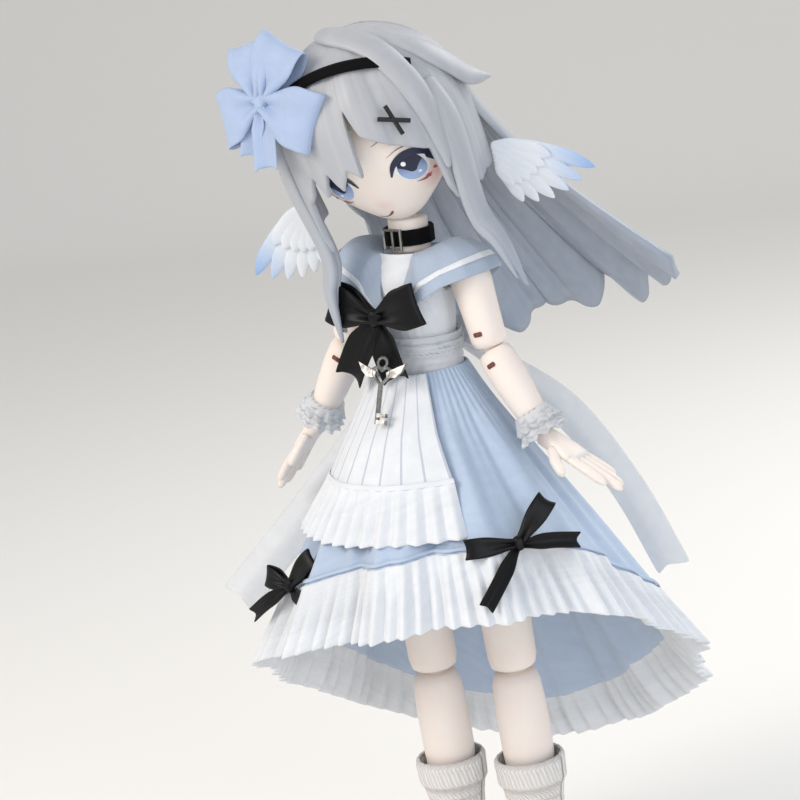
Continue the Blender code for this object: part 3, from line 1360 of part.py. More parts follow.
# The whole doll
def stand(rig):
    """Shift the doll so that the origin is the middle of its footprint."""
    bpy.context.view_layer.update()
    graph = bpy.context.evaluated_depsgraph_get()
    corners = []
    for obj in bpy.data.collections["ball_jointed_doll"].objects:
        if obj.type == "MESH":
            mesh = obj.evaluated_get(graph).data
            corners += [obj.matrix_world @ vertex.co for vertex in mesh.vertices]
    for axis in (0, 1):
        values = [corner[axis] for corner in corners]
        rig["doll"].location[axis] = -(min(values) + max(values)) / 2
    rig["doll"].location.z = -min(corner.z for corner in corners)


def main():
    """Build every piece of the doll."""
    clear_scene()
    new_collection("ball_jointed_doll")
    rig = make_rig()
    for make in (make_pelvis, make_waist_ball, make_chest, make_neck, make_head_ball, make_head,
                 make_hair_front, make_hair_back, make_hair_band, make_hair_clip, make_hair_bow,
                 make_choker, make_bodice, make_collar, make_chest_bow, make_charm, make_sash,
                 make_skirt, make_ruffle, make_apron, make_hem_bows, make_back_bow):
        make(rig)
    for side, word in ((1, "left"), (-1, "right")):
        make_arm(rig, side, word)
        make_cuff(rig, word)
        make_leg(rig, side, word)
        make_wing(rig, side, word)
    stand(rig)
    bpy.context.view_layer.update()


main()
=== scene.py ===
"""The looks of a ball jointed doll with moulded hair and a sewn dress.

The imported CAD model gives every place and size. The body pieces keep their CAD
shape where it shows well, and get materials. Hair, face and clothes are built
here in millimetres, each in the frame of the joint that carries it.
"""
import json
import math

import bmesh
import bpy
from mathutils import Euler, Matrix, Vector
from mathutils.bvhtree import BVHTree


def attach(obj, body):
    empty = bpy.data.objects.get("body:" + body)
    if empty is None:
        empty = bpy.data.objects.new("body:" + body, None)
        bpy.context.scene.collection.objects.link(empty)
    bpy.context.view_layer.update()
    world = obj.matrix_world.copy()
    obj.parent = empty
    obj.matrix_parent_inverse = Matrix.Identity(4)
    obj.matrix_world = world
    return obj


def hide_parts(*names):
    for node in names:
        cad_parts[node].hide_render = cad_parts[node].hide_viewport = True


bl_info = {
    "name": "Ball Jointed Doll Looks",
    "version": (1, 0, 0),
    "blender": (4, 5, 0),
    "location": "View3D > Sidebar > Doll",
    "description": "Builds the hair, face, clothes, materials and stage of a jointed doll",
    "category": "Object",
}

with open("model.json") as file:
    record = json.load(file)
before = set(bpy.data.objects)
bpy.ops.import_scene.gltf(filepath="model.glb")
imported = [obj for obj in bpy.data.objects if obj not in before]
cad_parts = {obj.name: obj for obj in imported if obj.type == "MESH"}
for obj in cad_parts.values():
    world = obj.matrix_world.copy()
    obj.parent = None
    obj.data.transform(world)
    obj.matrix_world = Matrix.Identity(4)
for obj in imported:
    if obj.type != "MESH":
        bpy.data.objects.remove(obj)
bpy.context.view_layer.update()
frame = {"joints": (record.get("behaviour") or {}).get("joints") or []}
JOINTS = {joint["name"]: joint for joint in frame["joints"]}
MM = 0.001
SIDES = ((1, "left"), (-1, "right"))
X_AXIS, Y_AXIS, Z_AXIS = Vector((1, 0, 0)), Vector((0, 1, 0)), Vector((0, 0, 1))

# Lengths in millimetres and resting angles in degrees, as in the CAD model
WAIST_HEIGHT, WAIST_TURN, WAIST_LEAN = 17.5, -8, 4
NECK_PLACE, HEAD_HEIGHT, HEAD_TURN, HEAD_LEAN = (0, 0.5, 17.3), 13, 18, (6, -14, 0)
SKULL_PLACE = (0, -1, 12.5)
SHOULDER_WIDE, SHOULDER_HEIGHT, ARM_OUT = 11.2, 17, 13
UPPER_ARM, ELBOW_LINK, FOREARM, ELBOW_BEND = 11.3, 3.4, 15.3, 9
WRIST_BEND = {"left": 26, "right": 4}
HIP_WIDE, THIGH = 7.5, 37.1


def shifted(x, y, z):
    """A shift in millimetres as a matrix."""
    return Matrix.Translation((x * MM, y * MM, z * MM))


def turned_by(x, y, z):
    """A turn by Euler angles in degrees as a matrix."""
    return Euler([math.radians(angle) for angle in (x, y, z)]).to_matrix().to_4x4()


def joint_frames():
    """The frame of every joint that carries a piece, by name."""
    pelvis = Matrix.Translation(JOINTS["waist_turn"]["pos_m"]) @ shifted(0, 0, -WAIST_HEIGHT)
    chest = pelvis @ shifted(0, 0, WAIST_HEIGHT) @ turned_by(0, 0, WAIST_TURN) @ turned_by(0, WAIST_LEAN, 0)
    neck = chest @ shifted(*NECK_PLACE)
    head = neck @ shifted(0, 0, HEAD_HEIGHT) @ turned_by(0, 0, HEAD_TURN) @ turned_by(*HEAD_LEAN)
    frames = {"pelvis": pelvis, "chest": chest, "neck": neck, "skull": head @ shifted(*SKULL_PLACE)}
    for side, word in SIDES:
        arm = chest @ shifted(side * SHOULDER_WIDE, 0, SHOULDER_HEIGHT) @ turned_by(0, -side * ARM_OUT, 0)
        elbow = arm @ shifted(0, 0, -UPPER_ARM) @ turned_by(0, -side * ELBOW_BEND, 0)
        forearm = elbow @ shifted(0, 0, -ELBOW_LINK) @ turned_by(0, -side * ELBOW_BEND, 0)
        wrist = forearm @ shifted(0, 0, -FOREARM)
        thigh = pelvis @ shifted(side * HIP_WIDE, 0, 0)
        frames.update({
            f"{word}_upper_arm": arm,
            f"{word}_forearm": forearm,
            f"{word}_hand": wrist @ turned_by(0, -side * WRIST_BEND[word], 0),
            f"{word}_thigh": thigh,
            f"{word}_calf": thigh @ shifted(0, 0, -THIGH),
        })
    return frames


FRAMES = joint_frames()


# Values that a user would change
def linear(code):
    """An sRGB hex colour as linear red, green and blue."""
    parts = [int(code[i:i + 2], 16) / 255 for i in (1, 3, 5)]
    return tuple(p / 12.92 if p <= 0.04045 else ((p + 0.055) / 1.055) ** 2.4 for p in parts)


def colour(label, code, about):
    """A colour property with a default from an sRGB hex value."""
    return bpy.props.FloatVectorProperty(
        name=label, description=about, subtype="COLOR", size=3, min=0, max=1, default=linear(code))


def length(label, value, about):
    """A length property in metres, from millimetres."""
    return bpy.props.FloatProperty(
        name=label, description=about, subtype="DISTANCE", unit="LENGTH", default=value * MM, min=0)


class DollColours(bpy.types.PropertyGroup):
    """The colours of the doll's materials."""
    skin: colour("Skin", "#f1e7df", "Cast vinyl of the body and face")
    hair: colour("Hair", "#adafb3", "Moulded hair")
    feather: colour("Feather", "#dfe4ea", "Roots of the ear wings")
    feather_tip: colour("Feather tip", "#83abe0", "Tips of the ear wings")
    bow: colour("Hair bow", "#a6b8d6", "Ribbon of the hair bow")
    dress: colour("Dress", "#b6c6db", "Blue cotton of the skirt")
    collar: colour("Collar", "#aab8ca", "Blue cotton of the collar and shoulders")
    white: colour("White cotton", "#e3e6ea", "Ruffles, apron and bodice")
    black: colour("Black", "#060608", "Satin ribbon, choker and band")
    sock: colour("Sock", "#efebe7", "Ribbed knit of the socks")


class DollSizes(bpy.types.PropertyGroup):
    """The sizes of the doll's clothes."""
    pleat: length("Pleat depth", 0.85, "Half height of the ruffle's pleats")
    fold: length("Fold depth", 1.35, "Half height of the skirt's gathers")
    cloth: length("Cloth thickness", 0.35, "Thickness of the sewn cloth")
    stripe: length("Stripe spacing", 4.0, "Distance between the apron's pinstripes")


# Numbers, tables and curves
def shares(count):
    """Even steps from zero to one."""
    return [step / count for step in range(count + 1)]


def circle(count):
    """Even angles round a full turn."""
    return [math.tau * i / count for i in range(count)]


def smooth_step(value):
    """A share from zero to one that starts and ends softly."""
    value = min(max(value, 0.0), 1.0)
    return value * value * (3.0 - 2.0 * value)


def table(rows, t, column=1):
    """Read a column of a table at t, its first column, by straight lines."""
    for low, high in zip(rows, rows[1:]):
        if t <= high[0]:
            share = max(0.0, (t - low[0]) / (high[0] - low[0]))
            return low[column] + (high[column] - low[column]) * share
    return rows[-1][column]


def along_path(points, i):
    """The direction of a path at a point."""
    return (points[min(i + 1, len(points) - 1)] - points[max(i - 1, 0)]).normalized()


def resampled(points, count):
    """A smooth curve through points, with an even count of steps."""
    points = [Vector(p) for p in points]
    ends = [points[0] * 2 - points[1], *points, points[-1] * 2 - points[-2]]
    found = []
    for share in shares(count):
        t = share * (len(points) - 1)
        k = min(int(t), len(points) - 2)
        f = t - k
        a, b, c, d = ends[k:k + 4]
        found.append(0.5 * (2 * b + (c - a) * f + (2 * a - 5 * b + 4 * c - d) * f * f
                            + (3 * b - a - 3 * c + d) * f ** 3))
    return found


def gap(a, b):
    """The distance between two points."""
    return (Vector(a) - Vector(b)).length


def ring(centre, wide, deep, sides, power=1.0, x_axis=X_AXIS, y_axis=Y_AXIS):
    """Points round an ellipse across two axes."""
    points = []
    for angle in circle(sides):
        c, s = math.cos(angle), math.sin(angle)
        c = math.copysign(abs(c) ** power, c) * wide
        s = math.copysign(abs(s) ** power, s) * deep
        points.append(Vector(centre) + x_axis * c + y_axis * s)
    return points


# Meshes
def finished(shape, name):
    """A new mesh from a bmesh, which is freed."""
    mesh = bpy.data.meshes.new(name)
    shape.to_mesh(mesh)
    shape.free()
    return mesh


def joined(name, meshes):
    """One mesh from several."""
    shape = bmesh.new()
    for mesh in meshes:
        shape.from_mesh(mesh)
    return finished(shape, name)


def mesh_of(name, points, faces):
    """A mesh from points in millimetres."""
    mesh = bpy.data.meshes.new(name)
    mesh.from_pydata([tuple(c * MM for c in point) for point in points], [], faces)
    return mesh


def grid(name, rows, wrap=False, even=False):
    """A surface over rows of points, with UVs in millimetres, even down the columns if asked."""
    count, points, uvs, faces = len(rows[0]), [], [], []
    step = sum(gap(a, b) for a, b in zip(rows[-1], rows[-1][1:])) / (count - 1)
    down = 0.0
    for r, row in enumerate(rows):
        if r:
            down += sum(gap(a, b) for a, b in zip(rows[r - 1], row)) / count
        across = 0.0
        for i, point in enumerate(row):
            if i:
                across += gap(point, row[i - 1])
            points.append(point)
            uvs.append((i * step if even else across, down))
    for r in range(len(rows) - 1):
        for i in range(count if wrap else count - 1):
            j = (i + 1) % count
            faces.append((r * count + i, (r + 1) * count + i, (r + 1) * count + j, r * count + j))
    mesh = mesh_of(name, points, faces)
    layer = mesh.uv_layers.new(name="cloth")
    for loop in mesh.loops:
        layer.data[loop.index].uv = uvs[loop.vertex_index]
    return mesh


def loft(name, rings):
    """A closed mesh through rings of points, its doubles welded and its faces outward."""
    count = len(rings[0])
    points = [point for ring_points in rings for point in ring_points]
    faces = []
    for r in range(len(rings) - 1):
        for i in range(count):
            j = (i + 1) % count
            faces.append((r * count + i, r * count + j, (r + 1) * count + j, (r + 1) * count + i))
    faces.append(tuple(range(count))[::-1])
    last = (len(rings) - 1) * count
    faces.append(tuple(range(last, last + count)))
    mesh = mesh_of(name, points, faces)
    shape = bmesh.new()
    shape.from_mesh(mesh)
    bmesh.ops.remove_doubles(shape, verts=shape.verts, dist=0.01 * MM)
    bmesh.ops.recalc_face_normals(shape, faces=shape.faces)
    shape.to_mesh(mesh)
    shape.free()
    return mesh


def strand(name, points, width, depth, away, sides, steps, ridge=0.0):
    """A tapered lock along a smooth path; width is a table over its length, in millimetres."""
    points = resampled(points, steps)
    widest = max(v for _, v in width)
    rings = []
    for i, point in enumerate(points):
        forward = along_path(points, i)
        out = point - Vector(away)
        out = (out - forward * out.dot(forward)).normalized()
        wide = table(width, i / steps)
        deep = depth * min(1.0, wide / widest + 0.2)
        loop = ring(point, wide, deep, sides, 1.0, forward.cross(out), out)
        if ridge:
            loop = [p + out * ridge * deep * (1 if k % 2 else -1) for k, p in enumerate(loop)]
        rings.append(loop)
    return loft(name, rings)


# Pieces
def new_piece(name, mesh, kind, joint, place=Matrix()):
    """Put a mesh in the scene in a joint's frame, or at a place there, with a material."""
    piece = bpy.data.objects.new(name, mesh)
    bpy.context.scene.collection.objects.link(piece)
    piece.matrix_world = FRAMES[joint] @ place
    piece.data.materials.append(KINDS[kind])
    piece.data.shade_smooth()
    return piece


def thicken(piece, wall, offset):
    """Give a sheet a wall in millimetres."""
    solid = piece.modifiers.new("thickness", "SOLIDIFY")
    solid.thickness = wall * MM
    solid.offset = offset
    return piece


def soften(piece):
    """Smooth a piece with a subdivision surface."""
    soft = piece.modifiers.new("smooth", "SUBSURF")
    soft.levels = soft.render_levels = 1
    return piece


def cloth(name, rows, kind, joint, wall, wrap=False, offset=0.0, smooth=True, even=False):
    """A sheet of cloth over rows of points, with a thickness and soft edges."""
    piece = thicken(new_piece(name, grid(name, rows, wrap, even), kind, joint), wall, offset)
    return soften(piece) if smooth else piece


def levelled(piece):
    """Bake a piece's turn into its mesh, so that its box is no larger than the piece."""
    place = piece.matrix_world.copy()
    piece.data.transform(place.to_3x3().to_4x4())
    piece.matrix_world = Matrix.Translation(place.translation)
    return piece


def settle(pieces, body, node=None):
    """Let pieces ride on a body, and hide the CAD node that they stand for, if one is given."""
    for piece in pieces:
        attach(piece, body)
    if node:
        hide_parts(node)


# Materials
class Look:
    """A Principled material in the making, with short ways to add its nodes."""

    def __init__(self, name, base, rough, flat=False, turn=(0, 0, 0), **values):
        """Start with even values, and coordinates in the piece's own frame or on its cloth."""
        self.made = bpy.data.materials.new(name)
        self.made.use_nodes = True
        self.tree = self.made.node_tree
        self.shader = self.tree.nodes["Principled BSDF"]
        for key, value in {"Base Color": (*base, 1.0), "Roughness": rough, **values}.items():
            self.shader.inputs[key].default_value = value
        source = self.node("TexCoord").outputs["UV" if flat else "Object"]
        self.here = self.node("Mapping", {"Rotation": turn}, {"Vector": source}).outputs[0]

    def node(self, kind, values=None, links=None, **settings):
        """Add a node, set its properties and input values, and link its inputs."""
        node = self.tree.nodes.new(f"ShaderNode{kind}")
        for key, value in settings.items():
            setattr(node, key, value)
        for key, value in (values or {}).items():
            node.inputs[key].default_value = value
        for key, source in (links or {}).items():
            self.tree.links.new(source, node.inputs[key])
        return node

    def maths(self, operation, first, second=None):
        """A number worked out from a node's value and a second value or number."""
        values, links = {}, {0: first}
        if isinstance(second, bpy.types.NodeSocket):
            links[1] = second
        elif second is not None:
            values[1] = second
        return self.node("Math", values, links, operation=operation).outputs[0]

    def mixed(self, share, first, second):
        """A colour between two, by a share from a node."""
        mix = self.node("Mix", links={"Factor": share}, data_type="RGBA")
        for socket, value in ((mix.inputs[6], first), (mix.inputs[7], second)):
            if isinstance(value, bpy.types.NodeSocket):
                self.tree.links.new(value, socket)
            else:
                socket.default_value = (*value, 1.0)
        return mix.outputs[2]

    def ranged(self, value, low, high, out_low=0.0, out_high=1.0):
        """A value mapped from one range to another and kept inside it."""
        values = {"From Min": low, "From Max": high, "To Min": out_low, "To Max": out_high}
        return self.node("MapRange", values, {"Value": value}).outputs[0]

    def along(self, axis):
        """The coordinate along one axis."""
        return self.node("SeparateXYZ", links={"Vector": self.here}).outputs[axis]

    def noise(self, scale, detail=3.0, vector=None):
        """A noise value in the piece's coordinates."""
        values = {"Scale": scale, "Detail": detail}
        return self.node("TexNoise", values, {"Vector": vector or self.here}).outputs["Fac"]

    def waves(self, scale, distortion, way):
        """A wave value along one way."""
        values = {"Scale": scale, "Distortion": distortion}
        return self.node("TexWave", values, {"Vector": self.here}, bands_direction=way).outputs["Fac"]

    def paint(self, colour_node, rough=None):
        """Colour the shader, and vary its roughness if asked."""
        self.tree.links.new(colour_node, self.shader.inputs["Base Color"])
        if rough:
            self.tree.links.new(rough, self.shader.inputs["Roughness"])

    def bump(self, height, depth, strength):
        """Give the shader a bump of a depth in millimetres."""
        bump = self.node("Bump", {"Strength": strength, "Distance": depth * MM}, {"Height": height})
        self.tree.links.new(bump.outputs["Normal"], self.shader.inputs["Normal"])


def scaled(base, share):
    """A colour made darker or lighter by a share."""
    return tuple(min(1.0, c * share) for c in base)


def skull_axes():
    """The turn from the world's axes to the skull's, for pieces that stand level there."""
    return tuple(FRAMES["skull"].to_3x3().inverted().to_euler())


def cast_vinyl(name, base, blush=()):
    """Cast vinyl, matt as it leaves the mould: a soft glow, a faint cloudy tint and sprayed blush."""
    look = Look(name, base, 0.5, **{"Subsurface Weight": 0.12, "Subsurface Scale": 0.0025, "IOR": 1.48})
    warm = (base[0], base[1] * 0.96, base[2] * 0.94)
    shade = look.mixed(look.ranged(look.noise(140.0), 0.35, 0.75), base, warm)
    grain = look.noise(2600.0, 2.0)
    spot = None
    for x, y, z, wide, strong in blush:
        away = look.node("VectorMath", {1: (x * MM, y * MM, z * MM)}, {0: look.here}, operation="DISTANCE")
        share = look.ranged(away.outputs["Value"], wide * MM, 0.2 * MM, 0.0, strong)
        spot = look.maths("MAXIMUM", spot, share) if spot else share
    if spot:
        shade = look.mixed(spot, shade, linear("#df9f9b"))
    look.paint(shade, look.ranged(grain, 0.2, 0.8, 0.44, 0.56))
    look.bump(grain, 0.03, 0.25)
    return look.made


def moulded_hair(name, base):
    """Moulded PVC hair in a matt lacquer: fine combed lines and a cooler, bluer fall."""
    look = Look(name, base, 0.5, turn=skull_axes(), IOR=1.5)
    strands = look.node("Mapping", {"Scale": (900, 900, 45)}, {"Vector": look.here}).outputs[0]
    lines = look.noise(0.6, 2.0, strands)
    cool = (base[0] * 0.84, base[1] * 0.92, base[2] * 1.03)
    shade = look.mixed(look.ranged(look.along("Z"), 0.004, -0.034), base, cool)
    look.paint(look.mixed(look.ranged(lines, 0.35, 0.7, 0.0, 0.35), shade, scaled(base, 1.22)))
    look.bump(lines, 0.05, 0.35)
    return look.made


def painted_feather(name, root, tip):
    """Moulded feathers sprayed from white roots to blue tips."""
    look = Look(name, root, 0.5, turn=skull_axes(), IOR=1.5)
    reach = look.maths("ABSOLUTE", look.along("X"))
    look.paint(look.mixed(look.ranged(reach, 0.0235, 0.0315), root, tip))
    look.bump(look.waves(420.0, 1.5, "DIAGONAL"), 0.08, 0.35)
    return look.made


def woven(name, base, rough=0.85, thread=0.22, depth=0.05, sheen=0.25, stripe=None, **values):
    """Plain woven cotton. Its threads are drawn at about 0.2 mm, coarser than real, to show."""
    look = Look(name, base, rough, True, **{"Sheen Weight": sheen, "Sheen Roughness": 0.5, **values})
    turns = 1.0 / (thread * 2.0) * math.tau / 20.0
    weave = look.maths("MULTIPLY", *(look.waves(turns, 0.4, way) for way in ("X", "Y")))
    cloud = look.ranged(look.noise(0.35, 4.0), 0.3, 0.72)
    shade = look.mixed(cloud, scaled(base, 0.95), scaled(base, 1.03))
    if stripe:
        spacing, dark = stripe
        wrapped = look.maths("FRACT", look.maths("MULTIPLY", look.along("X"), 1.0 / spacing))
        apart = look.maths("ABSOLUTE", look.maths("SUBTRACT", wrapped, 0.5))
        shade = look.mixed(look.ranged(apart, 0.04, 0.065, 0.8, 0.0), shade, dark)
    look.paint(shade)
    look.bump(weave, depth, 0.5)
    return look.made


def rib_knit(name, base):
    """Fine ribbed knit: raised wales about 0.8 mm apart, drawn round the leg, with painted shade darkening the
    grooves between them.
    """
    look = Look(name, base, 0.92, True, **{"Sheen Weight": 0.3, "Sheen Roughness": 0.5})
    wales = look.waves(0.4, 0.6, "X")
    # Painted shade: the grooves between the wales are darkened to 0.8 of the knit's colour
    look.paint(look.mixed(wales, scaled(base, 0.80), base))
    look.bump(wales, 0.22, 0.8)
    return look.made


def lace(name, base):
    """White machine lace over sheer net: a small repeated eyelet pattern, with painted shade darkening each
    eyelet.
    """
    look = Look(name, base, 0.8, True, **{"Sheen Weight": 0.3, "Alpha": 0.5})
    eyelets = look.node("TexVoronoi", {"Scale": 1.1, "Randomness": 0.35}, {"Vector": look.here})
    share = look.ranged(eyelets.outputs["Distance"], 0.14, 0.34)
    # Painted shade: each eyelet darkens to 0.62 of the lace's colour towards its middle
    look.paint(look.mixed(share, scaled(base, 0.62), base))
    look.bump(share, 0.12, 0.8)
    return look.made


def cast_silver(name):
    """Cast zinc alloy with an antique silver plate: bright rims and darker hollows."""
    base = linear("#9c9b98")
    look = Look(name, base, 0.3, Metallic=1.0)
    tarnish = look.noise(900.0, 4.0)
    look.paint(look.mixed(look.ranged(tarnish, 0.45, 0.75), base, scaled(base, 0.35)),
               look.ranged(tarnish, 0.3, 0.8, 0.22, 0.5))
    look.bump(tarnish, 0.03, 0.4)
    return look.made


def moulded_black(name, base, rough, grain=1800.0):
    """Black plastic or leathercloth with a fine grain."""
    look = Look(name, base, rough, IOR=1.5)
    speck = look.noise(grain, 2.0)
    look.paint(look.mixed(speck, base, scaled(base, 1.3)),
               look.ranged(speck, 0.3, 0.8, rough * 0.8, rough * 1.2))
    look.bump(speck, 0.04, 0.4)
    return look.made


def face_paint(name, code, rough, low=None, span=(0.0, 1.0)):
    """Acrylic face paint, sealed matt, also used for the painted shade of the pin ends; with a second colour
    it fades down the frame's Z.
    """
    top = linear(code)
    look = Look(name, top, rough, IOR=1.47)
    if low:
        fade = look.ranged(look.along("Z"), span[0] * MM, span[1] * MM)
        look.paint(look.mixed(fade, linear(low), top))
    else:
        look.paint(look.mixed(look.ranged(look.noise(2400.0, 2.0), 0.3, 0.8), top, scaled(top, 0.85)))
    return look.made


# The blush on each cheek and by the mouth: its middle, reach and strength
BLUSH = ((9.2, -4.8, -10.2, 4.2, 0.8), (-9.0, -4.8, -10.4, 4.2, 0.8), (-1.0, -8.0, -12.4, 2.0, 0.2))
# Face paints, and the painted shade of the pin ends: kind, name of the material, colour and roughness
PAINTS = (
    # The pin's reddish brown is painted shade, standing for the shade inside the recessed pin holes
    ("pin", "pin_copper_paint", "#7a4638", 0.5), ("lash", "navy_lash_paint", "#1d2440", 0.35),
    ("lid", "brown_lid_paint", "#8c5f5c", 0.5), ("brow", "brow_paint", "#8e8b93", 0.5),
    ("white paint", "eye_white_paint", "#f3f1f1", 0.3), ("pupil", "pupil_paint", "#171d3c", 0.12),
    ("glint", "glint_paint", "#ffffff", 0.2), ("mouth", "mouth_paint", "#8d5a55", 0.5),
    ("dot", "red_dot_paint", "#b5474b", 0.5),
    ("iris", "iris_paint", "#37467a", 0.15, "#9fb4d8", (-8.4, -5.4)),
)
KINDS = {}


def make_kinds(colours, stripe):
    """Make every material of the doll."""
    skin, hair, feather, feather_tip, bow, dress, collar, white, black, sock = (
        tuple(getattr(colours, name)) for name in (
            "skin", "hair", "feather", "feather_tip", "bow", "dress", "collar", "white", "black", "sock"))
    KINDS.update({
        "skin": cast_vinyl("cast_vinyl", skin),
        "face": cast_vinyl("cast_vinyl_face", skin, BLUSH),
        "joint": cast_vinyl("cast_vinyl_joint", scaled(skin, 0.93)),
        "hair": moulded_hair("moulded_hair", hair),
        "feather": painted_feather("painted_feather", feather, feather_tip),
        "hair bow": woven("blue_cotton_bow", bow, 0.7, sheen=0.2),
        "dress": woven("blue_cotton", dress),
        "collar": woven("blue_cotton_collar", collar),
        "white": woven("white_cotton", white),
        "apron": woven("pinstriped_cotton", white, stripe=(stripe, linear("#b4bccb"))),
        "bodice": woven("white_poplin", white, thread=0.16),
        "satin": woven("black_satin", black, 0.42, 0.16, 0.02, 0.0,
                       **{"Anisotropic": 0.4, "Specular IOR Level": 0.25}),
        "braid": woven("white_braid", white, thread=0.3, depth=0.12),
        "velvet": woven("black_velvet", black, 0.9, sheen=0.03, **{"Specular IOR Level": 0.15}),
        "sock": rib_knit("ribbed_knit", sock),
        "lace": lace("machine_lace", white),
        "organza": woven("white_organza", white, 0.5, 0.3, 0.02, 0.4, Alpha=0.55),
        "silver": cast_silver("antique_silver"),
        "clip": moulded_black("black_abs_clip", black, 0.35),
        "shoe": moulded_black("black_leathercloth", black, 0.38, 1100.0),
    })
    for kind, *facts in PAINTS:
        KINDS[kind] = face_paint(*facts)


# Head and face, in the skull's frame
HEAD_WIDTH, HEAD_DEPTH, HEAD_TOP, CHIN_DROP = 13.6, 13.4, 13.4, 16.4
EYE_X, EYE_Z = 6.2, -7.2
PAINT_STEP = 0.35


def head_form():
    """The head: a round skull that narrows to a small chin."""
    shape = bmesh.new()
    bmesh.ops.create_uvsphere(shape, u_segments=64, v_segments=48, radius=1.0)
    for vertex in shape.verts:
        x, y, z = vertex.co
        low = smooth_step((-z - 0.35) / 0.65)
        narrow = 1.0 - 0.30 * low
        back = 1.0 - 0.24 * max(y, 0.0) * smooth_step(-z)
        front = 0.95 if y < 0 else 0.95 + 0.05 * smooth_step(y * 6)
        tall = HEAD_TOP if z > 0 else CHIN_DROP * back
        point = Vector((x * HEAD_WIDTH * narrow,
                        y * HEAD_DEPTH * front * narrow - HEAD_DEPTH * 0.14 * low, z * tall))
        brow = math.exp(-(((point.z + 7.0) / 3.6) ** 2 + ((abs(point.x) - 6.3) / 3.4) ** 2))
        nose = math.exp(-(((point.z + 10.2) / 1.1) ** 2 + (point.x / 0.9) ** 2))
        if y < 0:
            point.y += 0.45 * brow - 0.42 * nose
        vertex.co = point * MM
    return finished(shape, "face")


def on_face(tree, x, z, lift):
    """The point of the face in front of (x, z), lifted by a paint's thickness, in metres."""
    hit, normal, _, _ = tree.ray_cast(Vector((x, -40.0, z)) * MM, Y_AXIS)
    return hit + normal * lift * MM


def patch(tree, points, lift):
    """A painted shape on the face: a closed outline in XZ, filled and laid on the surface."""
    shape = bmesh.new()
    shape.faces.new([shape.verts.new((x, 0, z)) for x, z in points])
    bmesh.ops.triangulate(shape, faces=shape.faces)
    for _ in range(3):
        long = [edge for edge in shape.edges if edge.calc_length() > PAINT_STEP]
        if long:
            bmesh.ops.subdivide_edges(shape, edges=long, cuts=1)
            bmesh.ops.triangulate(shape, faces=shape.faces)
    for vertex in shape.verts:
        vertex.co = on_face(tree, vertex.co.x, vertex.co.z, lift)
    mesh = finished(shape, "paint")
    for face in mesh.polygons:
        if face.normal.y > 0:
            face.flip()
    return mesh


def oval(x, z, wide, tall, count=28, start=0.0, stop=360.0):
    """Points round an ellipse, or a part of one, in XZ."""
    whole = stop - start >= 360.0
    angles = [math.radians(start + (stop - start) * i / count) for i in range(count if whole else count + 1)]
    return [(x + wide * math.cos(angle), z + tall * math.sin(angle)) for angle in angles]


def stroke(path, widths):
    """The outline of a brush stroke along a path in XZ."""
    line = resampled([(x, 0, z) for x, z in path], 18)
    upper, lower = [], []
    for i, point in enumerate(line):
        forward = along_path(line, i)
        half = table(widths, i / (len(line) - 1)) / 2
        side = Vector((-forward.z, 0, forward.x)) * half
        upper.append((point.x + side.x, point.z + side.z))
        lower.append((point.x - side.x, point.z - side.z))
    return upper + lower[::-1]


def eye_marks(side):
    """The painted marks of an eye: kind, outline and layer. X runs outward from its middle."""
    def at(*points):
        return [(side * (EYE_X + x), EYE_Z + z) for x, z in points]

    def spot(x, z, *form):
        return oval(side * (EYE_X + x), EYE_Z + z, *form)

    marks = [
        ("white paint", at((-2.6, 0.1), (-2.1, 1.3), (-0.8, 2.1), (1.0, 2.1), (2.5, 1.2), (2.7, 0.2),
                           (2.2, -1.2), (1.2, -2.2), (-0.8, -2.4), (-2.0, -1.5)), 0.03),
        ("iris", spot(0, -0.1, 2.05, 2.3), 0.05),
        ("pupil", spot(0, 0.55, 1.9, 1.75, 20, 5, 175) + spot(0, 0.65, 1.25, -1.25, 12, 150, 30), 0.07),
        ("pupil", spot(0, 0.1, 0.8, 1.0), 0.08),
        ("glint", spot(-0.85, 1.0, 0.36, 0.42, 12), 0.10),
        ("glint", spot(0.7, -1.25, 0.26, 0.22, 10), 0.10),
        ("lash", stroke(at((-3.3, -0.4), (-2.3, 1.3), (-0.4, 2.45), (1.8, 2.2), (3.4, 1.0)),
                        ((0, 0.25), (0.3, 0.95), (0.7, 1.25), (1, 0.9))), 0.11),
        ("lash", at((2.5, 1.7), (4.4, 2.35), (3.7, 1.3), (4.5, 0.75), (3.2, 0.6), (3.1, -0.55),
                    (2.4, 0.5)), 0.12),
        ("lid", stroke(at((-0.6, -2.85), (0.6, -3.0), (1.7, -2.5)), ((0, 0.05), (0.6, 0.42), (1, 0.1))), 0.08),
        ("lid", stroke(at((-2.6, 3.0), (-0.2, 3.75), (2.4, 3.2)), ((0, 0.05), (0.5, 0.16), (1, 0.05))), 0.06),
        ("brow", stroke(at((-4.0, 5.6), (-0.5, 6.5), (3.2, 5.7)), ((0, 0.1), (0.5, 0.34), (1, 0.08))), 0.06),
    ]
    dots = ((2.5, -1.85, 0.24), (3.3, -0.9, 0.22), (1.2, -2.75, 0.3))
    return marks + [("dot", spot(x, z, size, size, 10), 0.10) for x, z, size in dots]


MOUTH = (((-3.3, -14.1), (-2.2, -14.45), (-1.1, -14.2), (-0.3, -13.6)),
         ((0, 0.08), (0.5, 0.2), (0.85, 0.45), (1, 0.15)))


def build_face():
    """The head with its painted face, in place of the CAD head."""
    head = new_piece("face", head_form(), "face", "skull")
    shape = bmesh.new()
    shape.from_mesh(head.data)
    tree = BVHTree.FromBMesh(shape)
    shape.free()
    layers = {}
    for kind, outline, lift in (*eye_marks(1), *eye_marks(-1), ("mouth", stroke(*MOUTH), 0.06)):
        layers.setdefault((kind, lift), []).append(patch(tree, outline, lift))
    for (kind, lift), meshes in layers.items():
        name = f"{kind.replace(' ', '_')}_layer_{round(lift * 100)}"
        settle([new_piece(name, joined(name, meshes), kind, "skull")], "head")
    settle([head], "head", "head")


# Hair, in the skull's frame
HAIR_RADIUS = 16.0


